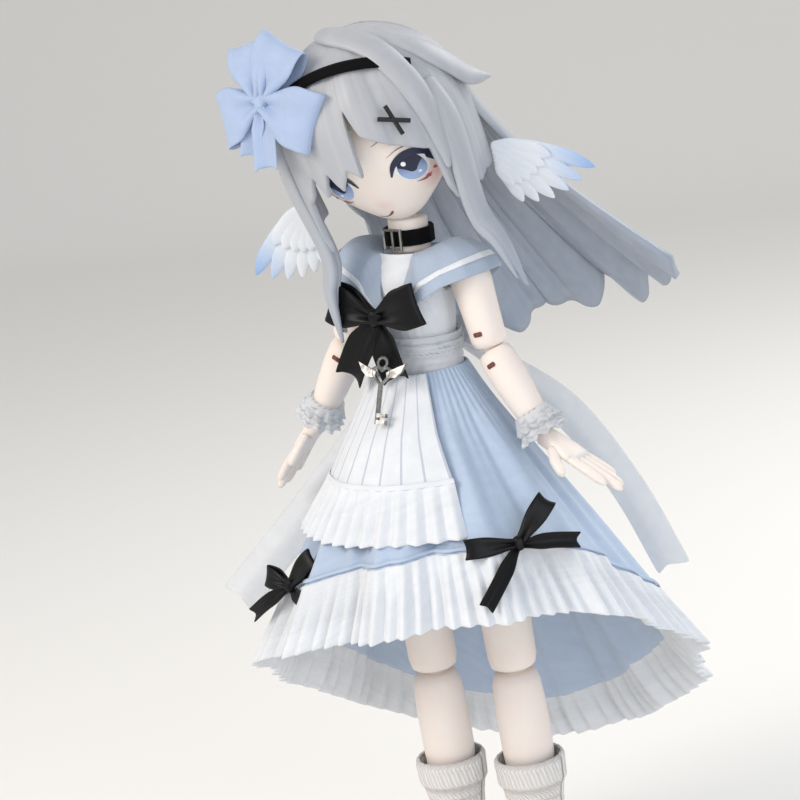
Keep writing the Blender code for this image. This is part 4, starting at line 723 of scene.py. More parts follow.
def on_hair(azimuth, drop, grow=0.0):
    """A point on the hair's round form. Azimuth 0 is the front, positive to the left."""
    radius = HAIR_RADIUS + grow
    turn, arc = math.radians(azimuth), math.radians(min(drop, 90.0))
    fall = math.radians(max(drop - 90.0, 0.0))
    out = radius * math.sin(arc) * (1.0 - 0.06 * fall * fall)
    return Vector((out * math.sin(turn), -out * math.cos(turn), radius * (math.cos(arc) - fall)))


# The fringe's lower edge: azimuth in degrees and height as a share of the hair radius
FRINGE = (
    (-100, -0.82), (-80, -0.86), (-62, -0.84), (-52, -1.05), (-46.5, -0.50),
    (-40, -0.43), (-34, -0.22), (-27, -0.45), (-20, -0.20), (-13, -0.42),
    (-7, -0.22), (0, -0.36), (2.5, 0.40), (8, 0.06), (19, -0.08), (30, -0.20),
    (44, -0.31), (47.5, -0.72), (53, -0.93), (60, -0.72), (74, -0.86), (100, -0.82),
)


def fringe_drop(azimuth):
    """The arc from the crown to the fringe's lower edge."""
    height = table(FRINGE, azimuth)
    return math.degrees(math.acos(height)) if height > 0 else 90.0 + math.degrees(-height)


def combed(azimuth, share):
    """The height of the moulded clumps and fine ridges at a place on the hair."""
    clump = 0.55 * abs(math.sin(math.radians(azimuth * 6.0 + 20)))
    fine = 0.045 * math.sin(math.radians(azimuth * 40)) + 0.02 * math.sin(math.radians(azimuth * 83 + 30))
    return (clump - 0.25 + fine) * smooth_step(share * 1.3)


def build_fringe():
    """The crown, fringe and cheek locks, as one moulded shell."""
    rows = [[on_hair(azimuth, fringe_drop(azimuth) * (0.02 + 0.98 * share), combed(azimuth, share))
             for azimuth in range(-100, 101)] for share in shares(26)]
    return cloth("hair_fringe", rows, "hair", "skull", 1.1, offset=-1.0)


def build_locks():
    """The long side locks in front of the shoulders, and the raised strand over the band."""
    found = []
    for side, _ in SIDES:
        start = [on_hair(side * 62, 70, -0.4), on_hair(side * 61, 100, 0.5), on_hair(side * 59, 150, 0.6)]
        tip = Vector((side * 16.6, -8.0, -32.0))
        path = [*start, start[-1].lerp(tip, 0.4) + Vector((side * 0.6, -0.3, 0)), tip]
        for k, (shift, wide, short) in enumerate(((0.0, 2.5, 1.0), (2.3, 1.5, 0.86), (-2.0, 1.3, 0.78))):
            turned = [p + Vector((side * -0.25 * abs(shift), shift * 0.5, 0)) for p in path]
            turned[-1] = turned[-2].lerp(turned[-1], short)
            widths = ((0, wide * 0.6), (0.25, wide), (0.6, wide * 0.9), (0.85, wide * 0.5), (1, 0.12))
            found.append(strand("lock", turned, widths, 1.15 - 0.15 * k, (0, 0, -16), 16, 22, 0.06))
    over = [on_hair(azimuth, drop, 0.35) for azimuth, drop in (
        (-70, 9), (-30, 11), (16, 20), (38, 36), (45, 54), (49, 78), (51, 108), (50, 122))]
    found.append(strand("parting", over, ((0, 1.2), (0.25, 2.4), (0.7, 2.4), (1, 0.4)),
                        1.0, (0, 0, 0), 16, 24, 0.06))
    return soften(new_piece("hair_side_locks", joined("hair_side_locks", found), "hair", "skull"))


# The back hair from its right to its left edge: its reach, its drop and the share of its side that it covers
BACK_REACH = ((-1.0, 0.56), (-0.6, 0.64), (0.0, 0.84), (0.5, 0.96), (1.0, 0.92))
BACK_DROP = ((-1.0, 1.0), (0.0, 1.12), (0.6, 1.12), (1.0, 1.0))
BACK_SPAN = ((-1.0, 0.50), (1.0, 0.74))
BACK_LENGTH, BACK_OUT, PART_Y, CROWN_SHARE = 44.0, 42.0, 2.5, 0.38


def back_point(share, t):
    """A point of the back hair; share runs across it and t from crown to tip."""
    inside = abs(2.0 * ((share + 1.0) / 2.0 * 7 % 1.0) - 1.0)
    fine = 0.09 * math.sin(share * 95.0) + 0.12 * math.sin(share * 37.0 + 1.0)
    if t <= CROWN_SHARE:
        arc = math.radians(90.0 * t / CROWN_SHARE)
        wide = HAIR_RADIUS * math.sin(arc)
        out = wide + fine * t / CROWN_SHARE
        turn = math.pi - share * math.acos(min(1.0, PART_Y / max(wide, 3.0)))
        return Vector((math.sin(turn) * out, -math.cos(turn) * out, math.cos(arc) * HAIR_RADIUS))
    fall = (t - CROWN_SHARE) / (1.0 - CROWN_SHARE)
    edge = math.acos(PART_Y / HAIR_RADIUS)
    widest = math.radians(90.0 * table(BACK_SPAN, share))
    turn = math.pi - share * (edge + (widest - edge) * smooth_step(fall * 2.2))
    reach = HAIR_RADIUS + (BACK_OUT * table(BACK_REACH, share) - HAIR_RADIUS) * fall ** 1.25
    out = reach - 0.9 * inside ** 1.5 * smooth_step(fall * 3) + fine
    long = BACK_LENGTH * table(BACK_DROP, share) * (1.0 - 0.10 * inside ** 2.0 - 0.03 * math.sin(share * 31))
    return Vector((math.sin(turn) * out, -math.cos(turn) * out, -long * fall))


def build_back_hair():
    """The rear of the cap and the long hair that fans out behind."""
    rows = [[back_point(2.0 * across - 1.0, 0.07 + 0.93 * down) for across in shares(168)]
            for down in shares(34)]
    return cloth("hair_long_back", rows, "hair", "skull", 1.2, offset=1.0, smooth=False)


def build_flicks():
    """The two flicks that turn out at the sides of the crown."""
    flicks = []
    for side, size in ((1, 1.0), (-1, 0.7)):
        path = [on_hair(side * azimuth, drop, grow) for azimuth, drop, grow in (
            (58, 30, -0.6), (72, 52, 0.2), (84, 70, 0.5), (96, 84, 1.4), (103, 90, 4.2 * size))]
        widths = ((0, 1.0), (0.35, 2.6), (0.7, 2.4), (0.88, 1.2), (1, 0.1))
        flicks.append(strand("flick", path, widths, 1.0, (0, 0, 0), 14, 18))
    return soften(new_piece("hair_flicks", joined("hair_flicks", flicks), "hair", "skull"))


def build_hair():
    """All the moulded hair, in place of the CAD hair."""
    settle([levelled(build_fringe()), levelled(build_locks())], "head", "hair_front")
    settle([levelled(build_back_hair()), levelled(build_flicks())], "head", "hair_back")


def build_band():
    """The narrow black velvet band over the fringe, tilted forward over the ears."""
    tilt, inner, half = turned_by(-45, 0, 0).inverted(), 16.7, 1.0
    rows = []
    for share in shares(48):
        angle = math.radians(44 + 90 * share)
        row = []
        for edge in (-1, -0.6, 0, 0.6, 1):
            radius = inner + 0.04 * (1 - edge * edge)
            row.append(tilt @ Vector((radius * math.cos(angle), edge * half, radius * math.sin(angle))))
        rows.append(row)
    band = levelled(cloth("velvet_band", rows, "velvet", "skull", 0.25, smooth=False))
    settle([band], "head", "hair_band")


# The feathers of a wing: angle below level in degrees and share of its reach
FEATHERS = ((33, 1.0), (41, 0.9), (49, 0.8), (58, 0.7), (68, 0.58), (80, 0.46))
WING_ROOT, WING_REACH, FEATHER_HALF = (16.7, 0.3, -9.9), 17.0, 1.7


def build_wings():
    """The feathered wings at the ears: two layers of painted feathers each."""
    for side, word in SIDES:
        root = Vector((side * WING_ROOT[0], *WING_ROOT[1:]))
        found = []
        for layer, (layer_share, forward) in enumerate(((1.0, 0.0), (0.58, -0.5))):
            for i, (angle, share) in enumerate(FEATHERS):
                below = math.radians(angle - 3 * layer)
                reach = WING_REACH * share * layer_share
                across = Vector((side * math.cos(below), 0.16, -math.sin(below)))
                start = root + Vector((0, forward, -i * 0.62))
                lift = Z_AXIS * reach * 0.05
                path = [start, start + across * reach * 0.35 + lift, start + across * reach * 0.7 + lift,
                        start + across * reach]
                wide = FEATHER_HALF * (0.55 + 0.45 * share)
                widths = ((0, wide * 0.5), (0.3, wide), (0.75, wide * 0.9), (0.93, wide * 0.5), (1, 0.08))
                found.append(strand("feather", path, widths, 0.36, root - Vector((0, 17, 0)), 8, 12))
        wing = soften(levelled(new_piece(f"feathers_{word}", joined("feathers", found), "feather", "skull")))
        settle([wing], "head", f"ear_wing_{word}")


# Ribbon bows, facing -Y about their knot
RIBBON_ACROSS = [k / 4 - 1 for k in range(9)]


def ribbon_loop(reach, width, puff, angle, pinch):
    """Rows of a ribbon that leaves the knot, turns over and comes back."""
    turn = Matrix.Rotation(-math.radians(angle), 4, "Y")
    rows = []
    for step in shares(28):
        a = math.tau * step
        share = (1 - math.cos(a)) / 2
        y = -puff * math.sin(a) * (0.35 + 0.65 * share)
        half = width / 2 * (pinch + (1 - pinch) * smooth_step(share * 1.5))
        crease = 0.10 * width * (1 - smooth_step(share * 1.1))
        rows.append([turn @ Vector((reach * share * (1 + 0.05 * v * v), y + crease * math.cos(v * 5.0),
                                    v * half)) for v in RIBBON_ACROSS])
    return rows


def ribbon_end(points, width, notch=0.5, steps=18, curl=0.12):
    """Rows of a ribbon's loose end along a path, with a notched tip."""
    line = resampled(points, steps)
    rows = []
    for i, point in enumerate(line):
        forward = along_path(line, i)
        across = forward.cross(Y_AXIS).normalized()
        out = across.cross(forward)
        half = width / 2 * (0.45 + 0.55 * smooth_step(i / steps * 2.5))
        depth = notch * width if i == steps else 0.0
        rows.append([point + across * half * v + out * curl * width * math.cos(v * 2.4)
                     - forward * depth * (1 - abs(v)) for v in RIBBON_ACROSS])
    return rows


def knot_form(wide, deep, tall):
    """A bow's knot: a short pinched wrap with creases."""
    rings = []
    for share in shares(12):
        t = share * 2 - 1
        size = math.sqrt(max(0.0, 1 - abs(t) ** 3.2)) * 0.9 + 0.1
        rings.append([Vector((math.cos(a) * wide * size * (1 + 0.07 * math.cos(6 * a)),
                              math.sin(a) * deep * size * (1 + 0.07 * math.cos(6 * a)), t * tall))
                      for a in circle(24)])
    return loft("knot", rings)


def make_bow(name, kind, joint, place, loops, ends, knot, wall=0.22):
    """A ribbon bow from its loops, loose ends and knot."""
    sheets = [ribbon_loop(*loop) for loop in loops] + [ribbon_end(*end) for end in ends]
    ribbons = joined(name, [grid("ribbon", rows) for rows in sheets])
    strips = soften(thicken(new_piece(name, ribbons, kind, joint, place), wall, 0.0))
    centre = soften(new_piece(f"{name}_knot", knot_form(*knot), kind, joint, place))
    return levelled(strips), levelled(centre)


def facing(centre, out):
    """A placing that turns -Y along a direction at a centre in millimetres."""
    return shifted(*centre) @ Vector(out).to_track_quat("-Y", "Z").to_matrix().to_4x4()


def build_hair_bow():
    """The large soft bow on the right of the head."""
    place = facing(on_hair(-54, 58, 3.2), (-0.30, -0.86, 0.42))
    loops = ((8.2, 9.6, 1.6, 190, 0.3), (11.6, 10.0, 2.0, 332, 0.3), (10.2, 9.6, 1.9, 54, 0.28),
             (9.8, 9.0, 1.6, 96, 0.3))
    ends = ((((0, -0.4, -1), (0.8, -0.9, -5), (0.2, -0.6, -11.4)), 4.8),
            (((0, -0.2, -1), (-1.8, -0.4, -4), (-3.2, -0.1, -8.6)), 4.6))
    pieces = make_bow("hair_ribbon", "hair bow", "skull", place, loops, ends, (1.3, 1.1, 1.5), 0.4)
    settle(pieces, "head", "hair_bow")


# Dress on the chest
CHEST = ((-0.6, 0.86, 0.82), (2.88, 0.90, 0.88), (8.06, 0.95, 1.0), (12.67, 1.0, 1.06),
         (16.13, 1.02, 0.96), (18.05, 0.92, 0.82), (19.2, 0.68, 0.74))


CHEST_HALF_WIDTH, CHEST_HALF_DEPTH = 6.5, 5.2


def chest_loop(z, grow, count, wave=0.0, waves=0, shift=0.0):
    """Points round the chest at a height, grown and waved."""
    wide, deep = CHEST_HALF_WIDTH * table(CHEST, z), CHEST_HALF_DEPTH * table(CHEST, z, 2)
    row = []
    for a in circle(count):
        out = grow + wave * math.cos(waves * a + shift)
        row.append((math.cos(a) * (wide + out), math.sin(a) * (deep + out), z))
    return row


def bake(piece):
    """Apply a piece's modifiers to its mesh."""
    bpy.context.view_layer.update()
    graph = bpy.context.evaluated_depsgraph_get()
    mesh = bpy.data.meshes.new_from_object(piece.evaluated_get(graph))
    piece.modifiers.clear()
    piece.data = mesh


def cut_ball(piece, radius, centre):
    """Cut a ball out of a piece."""
    shape = bmesh.new()
    bmesh.ops.create_uvsphere(shape, u_segments=48, v_segments=24, radius=radius * MM)
    bmesh.ops.translate(shape, vec=Vector(centre) * MM, verts=shape.verts)
    tool = bpy.data.objects.new("cutter", finished(shape, "ball"))
    bpy.context.scene.collection.objects.link(tool)
    tool.matrix_world = piece.matrix_world
    step = piece.modifiers.new("cut", "BOOLEAN")
    step.operation, step.object, step.solver = "DIFFERENCE", tool, "EXACT"
    bake(piece)
    bpy.data.objects.remove(tool)


def build_bodice():
    """The white poplin bodice, with its armholes."""
    rows = [chest_loop(2.6 + 14.7 * s / 20, 0.45, 96, 0.10, 30, s) for s in range(21)]
    piece = cloth("poplin_bodice", rows, "bodice", "chest", 0.3, True, 1.0, False)
    bake(piece)
    for side, _ in SIDES:
        cut_ball(piece, 5.3, (side * SHOULDER_WIDE, 0, SHOULDER_HEIGHT))
    piece.data.shade_smooth()
    settle([piece], "chest", "bodice")


# The collar's edge by angle from the front: x, y and z, and the rise of its crown
COLLAR = (
    (0, 0.0, -7.6, 11.6, 20.6), (14, 2.6, -8.0, 11.6, 20.8), (32, 6.0, -7.8, 13.4, 21.6),
    (52, 10.2, -6.8, 15.8, 23.0), (72, 14.0, -4.4, 17.0, 24.8), (90, 15.8, -0.2, 17.4, 25.6),
    (108, 15.2, 4.0, 17.2, 25.0), (126, 12.2, 7.8, 15.6, 23.2), (142, 8.8, 9.4, 13.2, 21.4),
    (160, 4.4, 9.6, 12.6, 20.8), (180, 0.0, 9.7, 12.5, 20.6),
)


def collar_rows(low, high, steps, lift=0.0):
    """Rows of the collar from one share of its width to another."""
    rows = []
    for step in shares(steps):
        t = low + (high - low) * step
        row = []
        for angle in circle(144):
            degrees = abs((math.degrees(angle) + 180) % 360 - 180)
            x, y, z, crown = (table(COLLAR, degrees, column) for column in (1, 2, 3, 4))
            edge = Vector((-x if math.sin(angle) < 0 else x, y, z))
            neck = Vector((math.sin(angle) * 4.7, -math.cos(angle) * 4.4 + 0.8, 20.2))
            neck = neck.lerp(edge + (neck - edge) * 0.16, smooth_step(1.15 - degrees / 30))
            over = (neck + edge) / 2
            over.z = max(crown * (1 - smooth_step(1.2 - degrees / 30)), over.z + 0.5)
            point = neck * (1 - t) ** 2 + over * 2 * t * (1 - t) + edge * t * t
            row.append(point + Vector((point.x, point.y, 6.0)).normalized() * lift)
        rows.append(row)
    return rows


def build_collar():
    """The blue sailor collar with its white braid, and the white inset at the throat."""
    rows = collar_rows(0.0, 1.0, 14)
    collar = cloth("sailor_collar_cloth", rows, "collar", "chest", 0.3, True)
    braid = cloth("collar_braid", collar_rows(0.80, 0.87, 2, 0.26), "braid", "chest", 0.16, True)
    rows = [chest_loop(13.0 + 7.6 * share, 0.75, 96)[59:86] for share in shares(12)]
    inset = cloth("white_inset", rows, "bodice", "chest", 0.25)
    settle([collar], "chest", "sailor_collar")
    settle([braid, inset], "chest")


def build_chest_bow():
    """The black satin bow on the collar."""
    loops = [(reach, 7.2, 1.4, angle, 0.34) for reach, angle in ((8.9, 17), (9.0, 163))]
    ends = [(path, 5.4, 0.4) for path in (
        ((0.3, 0.2, -0.6), (1.9, -0.5, -5.4), (3.4, -0.3, -10.6)),
        ((-0.3, 0.2, -0.6), (-3.6, -0.5, -5.6), (-6.6, -0.2, -10.8)))]
    pieces = make_bow("satin_bow", "satin", "chest", shifted(-2.0, -8.9, 10.9), loops, ends,
                      (1.3, 1.0, 1.6), 0.25)
    settle(pieces, "chest", "chest_bow")


def build_sash():
    """The gathered organza sash with its lining and its lace band."""
    rows = []
    for step in range(17):
        grow = 1.2 + 0.13 * math.cos(step * 2.2) + 0.3 * (step / 16)
        rows.append(chest_loop(6.9 - 6.3 * step / 16, grow, 96, 0.08, 22, step * 0.7))
    sash = cloth("organza_sash", rows, "organza", "chest", 0.3, True)
    rows = [chest_loop(6.6 - 4.6 * share, 0.95, 72) for share in shares(6)]
    lining = cloth("sash_lining", rows, "bodice", "chest", 0.3, True)
    rows = [chest_loop(5.7 - 2.2 * s / 6, 1.6 + 0.12 * math.cos(s * 3.1), 96) for s in range(7)]
    trim = cloth("sash_lace", rows, "lace", "chest", 0.25, True)
    settle([sash], "chest", "waist_sash")
    settle([lining, trim], "chest")


# Skirt, ruffle and apron, in the pelvis frame. Angle 0 is the front, positive to the left
# The drop from waist to hem by angle: high in front, low behind
HEM = (
    (-180, 73.0), (-152, 71.0), (-120, 58.0), (-90, 45.0), (-60, 35.0), (-28, 29.5), (0, 26.5),
    (28, 25.5), (60, 26.5), (90, 36.5), (120, 50.5), (150, 64.0), (180, 73.0),
)


def hem_drop(angle):
    """How far the skirt falls at an angle, with the table's corners rounded."""
    degrees = math.degrees(angle)
    spread = (-18, -12, -6, 0, 6, 12, 18)
    return sum(table(HEM, (degrees + d + 180) % 360 - 180) for d in spread) / len(spread)


WAIST_RADIUS, WAIST_TOP = 7.6, 18.4


def skirt_point(angle, share, fold=1.0, out=0.0):
    """A point of the gathered skirt; share runs from waist to hem."""
    reach = 27.0 + 8.0 * (1 - math.cos(angle)) / 2
    radius = WAIST_RADIUS + (reach - WAIST_RADIUS) * share ** 1.06 + out
    wave = math.sin(11 * angle + 0.6) + 0.4 * math.sin(27 * angle + 2.0) + 0.12 * math.sin(47 * angle)
    radius += fold * (wave * smooth_step(share * 1.3) + 0.22 * math.sin(60 * angle) * (1 - share) ** 2)
    squash = 0.84 + 0.16 * min(1.0, share * 3.0)
    return Vector((math.sin(angle) * radius, -math.cos(angle) * radius * squash,
                   WAIST_TOP - hem_drop(angle) * share))


def pleat_wave(value):
    """A folded pleat: a soft zigzag from -1 to 1."""
    saw = 2 * abs(2 * (value - math.floor(value + 0.5))) - 1
    return saw * (1.35 - 0.35 * saw * saw)


def outward(angle):
    """The direction straight out from the skirt at an angle."""
    return Vector((math.sin(angle), -math.cos(angle), 0.0))


def ruffle_rows(top, turn, depth, flare, angles, pleats, pleat, steps):
    """Rows of a pleated ruffle that hangs from the points that top gives for each angle."""
    rows = []
    for t in shares(steps):
        row = []
        for k, angle in enumerate(angles):
            wave = pleat_wave(k / (len(angles) - 1) * pleats + 0.05 * math.sin(angle * 5))
            swing = pleat * (0.25 + 0.75 * smooth_step(t * 1.6)) * wave
            curl = 0.35 * math.sin(angle * 9 + 1.3) * t * t + 0.2 * math.sin(angle * 23) * t
            fall = Z_AXIS * depth * t * (1 + 0.02 * curl)
            row.append(top(angle) + outward(angle + turn) * (flare * t ** 1.15 + swing) - fall)
        rows.append(row)
    return rows


def build_skirt(sizes):
    """The blue skirt, its white pleated ruffle and the seam between them."""
    angles, fold, wall = circle(288), sizes.fold / MM, sizes.cloth / MM
    rows = [[skirt_point(a, share, fold) for a in angles] for share in shares(24)]
    skirt = cloth("blue_skirt", rows, "dress", "pelvis", wall, True)
    settle([skirt], "pelvis", "skirt")

    rows = ruffle_rows(lambda a: skirt_point(a, 0.985, fold, 0.35), 0.0, 10.5, 6.2,
                       [*circle(648), math.tau], 81, sizes.pleat / MM, 9)
    rows = [row[:-1] for row in rows]
    ruffle = cloth("pleated_ruffle", rows, "white", "pelvis", wall, True)
    settle([ruffle], "pelvis", "skirt_ruffle")
    seam = [[skirt_point(a, share, fold, 0.55) for a in angles] for share in (0.955, 0.965, 0.975)]
    settle([cloth("hem_seam", seam, "dress", "pelvis", 0.35, True)], "pelvis")


APRON_TURN, APRON_HALF, APRON_DROP = math.radians(-16), math.radians(50), 16.0


def apron_point(angle, share, lift):
    """A point of the apron over the front of the skirt."""
    turned = angle + APRON_TURN
    base = skirt_point(turned, share * APRON_DROP / hem_drop(turned), 0.15, lift)
    return base + Vector((0, -0.5 * share, 0))


def apron_angles(count):
    """Even angles across the apron."""
    return [-APRON_HALF + 2 * APRON_HALF * i / count for i in range(count + 1)]


def build_apron():
    """The small pinstriped apron, its ruffle and its seam."""
    rows = [[apron_point(a * (0.86 + 0.14 * share), share, 1.3) for a in apron_angles(96)]
            for share in shares(20)]
    apron = cloth("pinstriped_apron", rows, "apron", "pelvis", 0.35, even=True)
    rows = ruffle_rows(lambda a: apron_point(a, 0.95, 1.65), -0.28, 8.3, 5.8, apron_angles(288), 14, 0.62, 12)
    ruffle = cloth("apron_ruffle_cloth", rows, "white", "pelvis", 0.35)
    rows = [[apron_point(a, share, 1.75) for a in apron_angles(96)] for share in (0.93, 0.955, 0.98)]
    seam = cloth("apron_seam", rows, "white", "pelvis", 0.3)
    settle([apron], "pelvis", "apron")
    settle([ruffle], "pelvis", "apron_ruffle")
    settle([seam], "pelvis")


# The hem bows: angle on the skirt, facing, loops and loose ends
HEM_BOWS = (
    ("left", 48, (0.62, -0.78, 0.22),
     ((8.2, 3.3, 1.0, 45, 0.45), (8.4, 3.3, 1.0, 175, 0.45)),
     ((0.2, 0.1, -0.3), (5.0, -0.5, -0.6), (10.0, 0.0, -1.6)),
     ((-0.2, 0.1, -0.3), (-4.2, -2.4, -4.6), (-8.2, -4.0, -8.8))),
    ("right", -46, (-0.34, -0.92, 0.2),
     ((7.6, 3.4, 1.0, 42, 0.45), (5.8, 3.6, 1.0, 168, 0.45)),
     ((0.2, 0.1, -0.3), (2.6, -0.5, -1.6), (5.2, 0.0, -2.6)),
     ((-0.2, 0.1, -0.3), (-4.4, -1.2, -3.0), (-8.8, -1.0, -5.8))),
)


def build_hem_bows():
    """The two black ribbon bows on the skirt's hem."""
    for word, angle, out, loops, *ends in HEM_BOWS:
        place = facing(skirt_point(math.radians(angle), 0.96, 1.35, 3.1), out)
        pieces = make_bow(f"hem_ribbon_{word}", "satin", "pelvis", place, loops,
                          [(end, 2.6, 0.3) for end in ends], (0.95, 0.85, 1.25))
        settle(pieces, "pelvis", f"hem_bow_{word}")


# The back bow's tails, as shares of their length
BACK_TAILS = (((0, 0, 0), (0.58, -0.12, -0.50), (1.0, 0.16, -1.05), (1.34, 0.40, -1.48)),
              ((0, 0, 0), (-0.42, -0.30, -0.45), (-0.70, -0.44, -0.92), (-0.92, -0.50, -1.40)))
TAIL_LENGTH = 32.2


def build_back_bow():
    """The organza bow at the back of the waist, with its long tails."""
    loops = [(9.0, 7.6, 1.6, angle, 0.3) for angle in (14, 166)]
    ends = [([Vector(point) * TAIL_LENGTH for point in tail], 7.2, 0.2, 30, 0.10) for tail in BACK_TAILS]
    pieces = make_bow("organza_bow", "organza", "chest", shifted(0, 9.0, 4.3) @ turned_by(0, 0, 180), loops,
                      ends, (1.5, 1.2, 1.7))
    settle(pieces, "chest", "back_bow")


def build_cuffs():
    """The ruffled lace cuffs above the hands."""
    for _, word in SIDES:
        found, sheets = [], []
        for top, depth, flare in ((-10.4, 2.8, 0.8), (-12.4, 2.4, 1.1)):
            rows = []
            for step in range(9):
                t = step / 8
                row = []
                for i in range(180):
                    a = math.tau * i / 180
                    wave = (0.05 + 0.34 * t) * math.sin(11 * a + top) + 0.1 * t * math.sin(23 * a + 1)
                    radius = 2.95 + flare * t ** 1.2 + wave * t
                    row.append((math.cos(a) * radius, math.sin(a) * radius,
                                top - depth * t + 0.3 * t * math.sin(11 * a + top + 1.4)))
                rows.append(row)
            found.append(grid("cuff", rows, True))
            sheets.append(rows)
        cuff = new_piece(f"lace_cuff_cloth_{word}", joined("cuffs", found), "lace", f"{word}_forearm")
        soften(thicken(cuff, 0.12, 1.0))
        settle([cuff], f"{word}_forearm", f"{word}_lace_cuff")


# The sock: drop below the knee and radius
SOCK = ((13.2, 5.7), (14.0, 6.1), (15.2, 6.0), (17.6, 5.9), (18.4, 5.35), (20, 4.95), (24, 4.45),
        (28, 4.1), (31.4, 3.95))


def build_socks():
    """The ribbed socks, each with a turned down cuff and soft creases."""
    for _, word in SIDES:
        rows = []
        for step in range(41):
            z = -13.2 - 18.2 * step / 40
            radius = table(SOCK, -z)
            crease = 0.14 * math.sin(z * 3.1) + 0.10 * math.sin(z * 5.3 + 1)
            row = []
            for i in range(96):
                a = math.tau * i / 96
                out = radius + (crease * (0.6 + 0.4 * math.sin(a * 2 + z))) * smooth_step((-z - 17) / 3)
                out += 0.09 * math.sin(24 * a)
                row.append((math.cos(a) * out, math.sin(a) * out, z))
            rows.append(row)
        sock = cloth(f"knit_sock_{word}", rows, "sock", f"{word}_calf", 0.5, True, -1.0)
        settle([sock], f"{word}_calf", f"{word}_sock")


# Limbs and hands: height, half width, half depth and forward shift of each ring, in millimetres
LIMBS = {
    "upper_arm": ((3.2, 0.4, 0.4, 0), (3.0, 1.5, 1.5, 0), (2.2, 2.7, 2.7, 0), (0.6, 3.35, 3.35, 0),
                  (-2.0, 3.4, 3.4, 0), (-6.0, 3.15, 3.15, 0), (-9.6, 3.0, 3.0, 0), (-11.4, 2.95, 2.95, 0),
                  (-12.4, 2.55, 2.55, 0), (-12.7, 2.0, 2.0, 0)),
    "forearm": ((1.4, 2.0, 2.0, 0), (1.1, 2.6, 2.6, 0), (0.0, 3.0, 3.0, 0), (-3.0, 3.1, 3.1, 0),
                (-7.0, 2.85, 2.85, 0), (-10.5, 2.5, 2.5, 0), (-12.4, 2.35, 2.35, 0), (-13.1, 2.1, 2.1, 0),
                (-13.3, 1.7, 1.7, 0)),
    "thigh": ((4.5, 2.6, 2.6, 0), (4.0, 3.6, 3.6, 0), (2.0, 4.5, 4.6, 0), (-2.0, 4.9, 4.9, 0),
              (-10.0, 4.9, 4.85, 0), (-20.0, 4.6, 4.5, 0), (-29.0, 4.2, 4.2, 0), (-32.6, 4.15, 4.15, 0),
              (-34.2, 3.8, 3.8, 0), (-34.7, 3.1, 3.1, 0)),
    "calf": ((1.7, 3.0, 3.0, 0), (1.3, 3.7, 3.7, 0), (-0.4, 4.15, 4.15, 0), (-5.0, 4.4, 4.4, 0.1),
             (-12.0, 4.35, 4.4, 0.2), (-20.0, 3.8, 3.85, 0.1), (-28.0, 3.1, 3.1, 0), (-30.6, 3.0, 3.0, 0),
             (-31.3, 2.5, 2.5, 0)),
}


# The neck, from its ball to the peg in the head: height and radius
NECK = ((-2.9, 0.3), (-2.5, 1.5), (-1.5, 2.5), (0.0, 2.9), (1.5, 2.48), (2.3, 1.8), (3.05, 3.0), (3.2, 3.25),
        (3.5, 3.3), (8.2, 3.3), (8.5, 3.2), (8.65, 2.9), (8.7, 1.6), (12.0, 1.6))


def build_neck():
    """The neck as a smooth turned form."""
    loops = [ring((0, 0, z), radius, radius, 48) for z, radius in NECK]
    neck = new_piece("smooth_neck", loft("smooth_neck", loops), "skin", "neck")
    settle([neck], "neck", "neck")


def build_limbs():
    """Smooth arms and legs round the CAD model's balls and links."""
    for _, word in SIDES:
        for part, rings in LIMBS.items():
            loops = [ring((0, shift, z), wide, deep, 48)
                     for z, wide, deep, shift in rings]
            limb = new_piece(f"smooth_{part}_{word}", loft(part, loops), "skin", f"{word}_{part}")
            settle([limb], f"{word}_{part}", f"{word}_{part}")


# Fingers of the left hand: root, bend, tip and half width, in the hand's frame
FINGERS = (
    ((0.5, -1.9, -5.8), (0.8, -2.2, -9.6), (0.9, -2.2, -13.4), 0.80),
    ((0.4, -0.6, -6.2), (0.8, -0.7, -10.8), (1.0, -0.7, -15.8), 0.84),
    ((0.4, 0.7, -6.0), (0.7, 0.8, -10.4), (0.9, 0.8, -15.0), 0.80),
    ((0.4, 1.8, -5.6), (0.6, 2.2, -9.2), (0.7, 2.3, -12.6), 0.72),
)


def build_hands():
    """The small hands: a flat palm, four fingers and a thumb apart."""
    for side, word in SIDES:
        palm = [ring((side * x, y, z), wide, deep, 24, 0.8)
                for z, x, y, wide, deep in (
                    (1.0, 0, 0, 0.9, 1.0), (0.5, 0, 0, 1.55, 1.6), (-1.0, 0.1, 0, 1.6, 1.75),
                    (-2.6, 0.3, 0, 1.35, 2.2), (-4.6, 0.5, -0.1, 1.15, 2.6), (-6.2, 0.5, 0, 1.0, 2.65),
                    (-7.2, 0.5, 0.1, 0.7, 2.3))]
        found = [loft("palm", palm)]
        for *path, wide in FINGERS:
            line = [Vector((side * x, y, z)) for x, y, z in path]
            found.append(strand("finger", line, ((0, wide), (0.6, wide * 0.95), (0.9, wide * 0.72),
                                                 (0.97, wide * 0.5), (1, 0.1)),
                                wide * 0.92, (-side * 60, 0, -8), 14, 16))
        thumb = [Vector((side * x, y, z)) for x, y, z in
                 ((0.0, -1.8, -2.6), (-0.5, -3.6, -4.6), (-0.9, -5.0, -7.4))]
        found.append(strand("thumb", thumb, ((0, 1.0), (0.5, 0.95), (0.85, 0.75), (0.96, 0.5), (1, 0.1)),
                            0.85, (-side * 60, 0, -8), 14, 14))
        hand = new_piece(f"smooth_hand_{word}", joined("hand", found), "skin", f"{word}_hand")
        settle([hand], f"{word}_hand", f"{word}_hand")


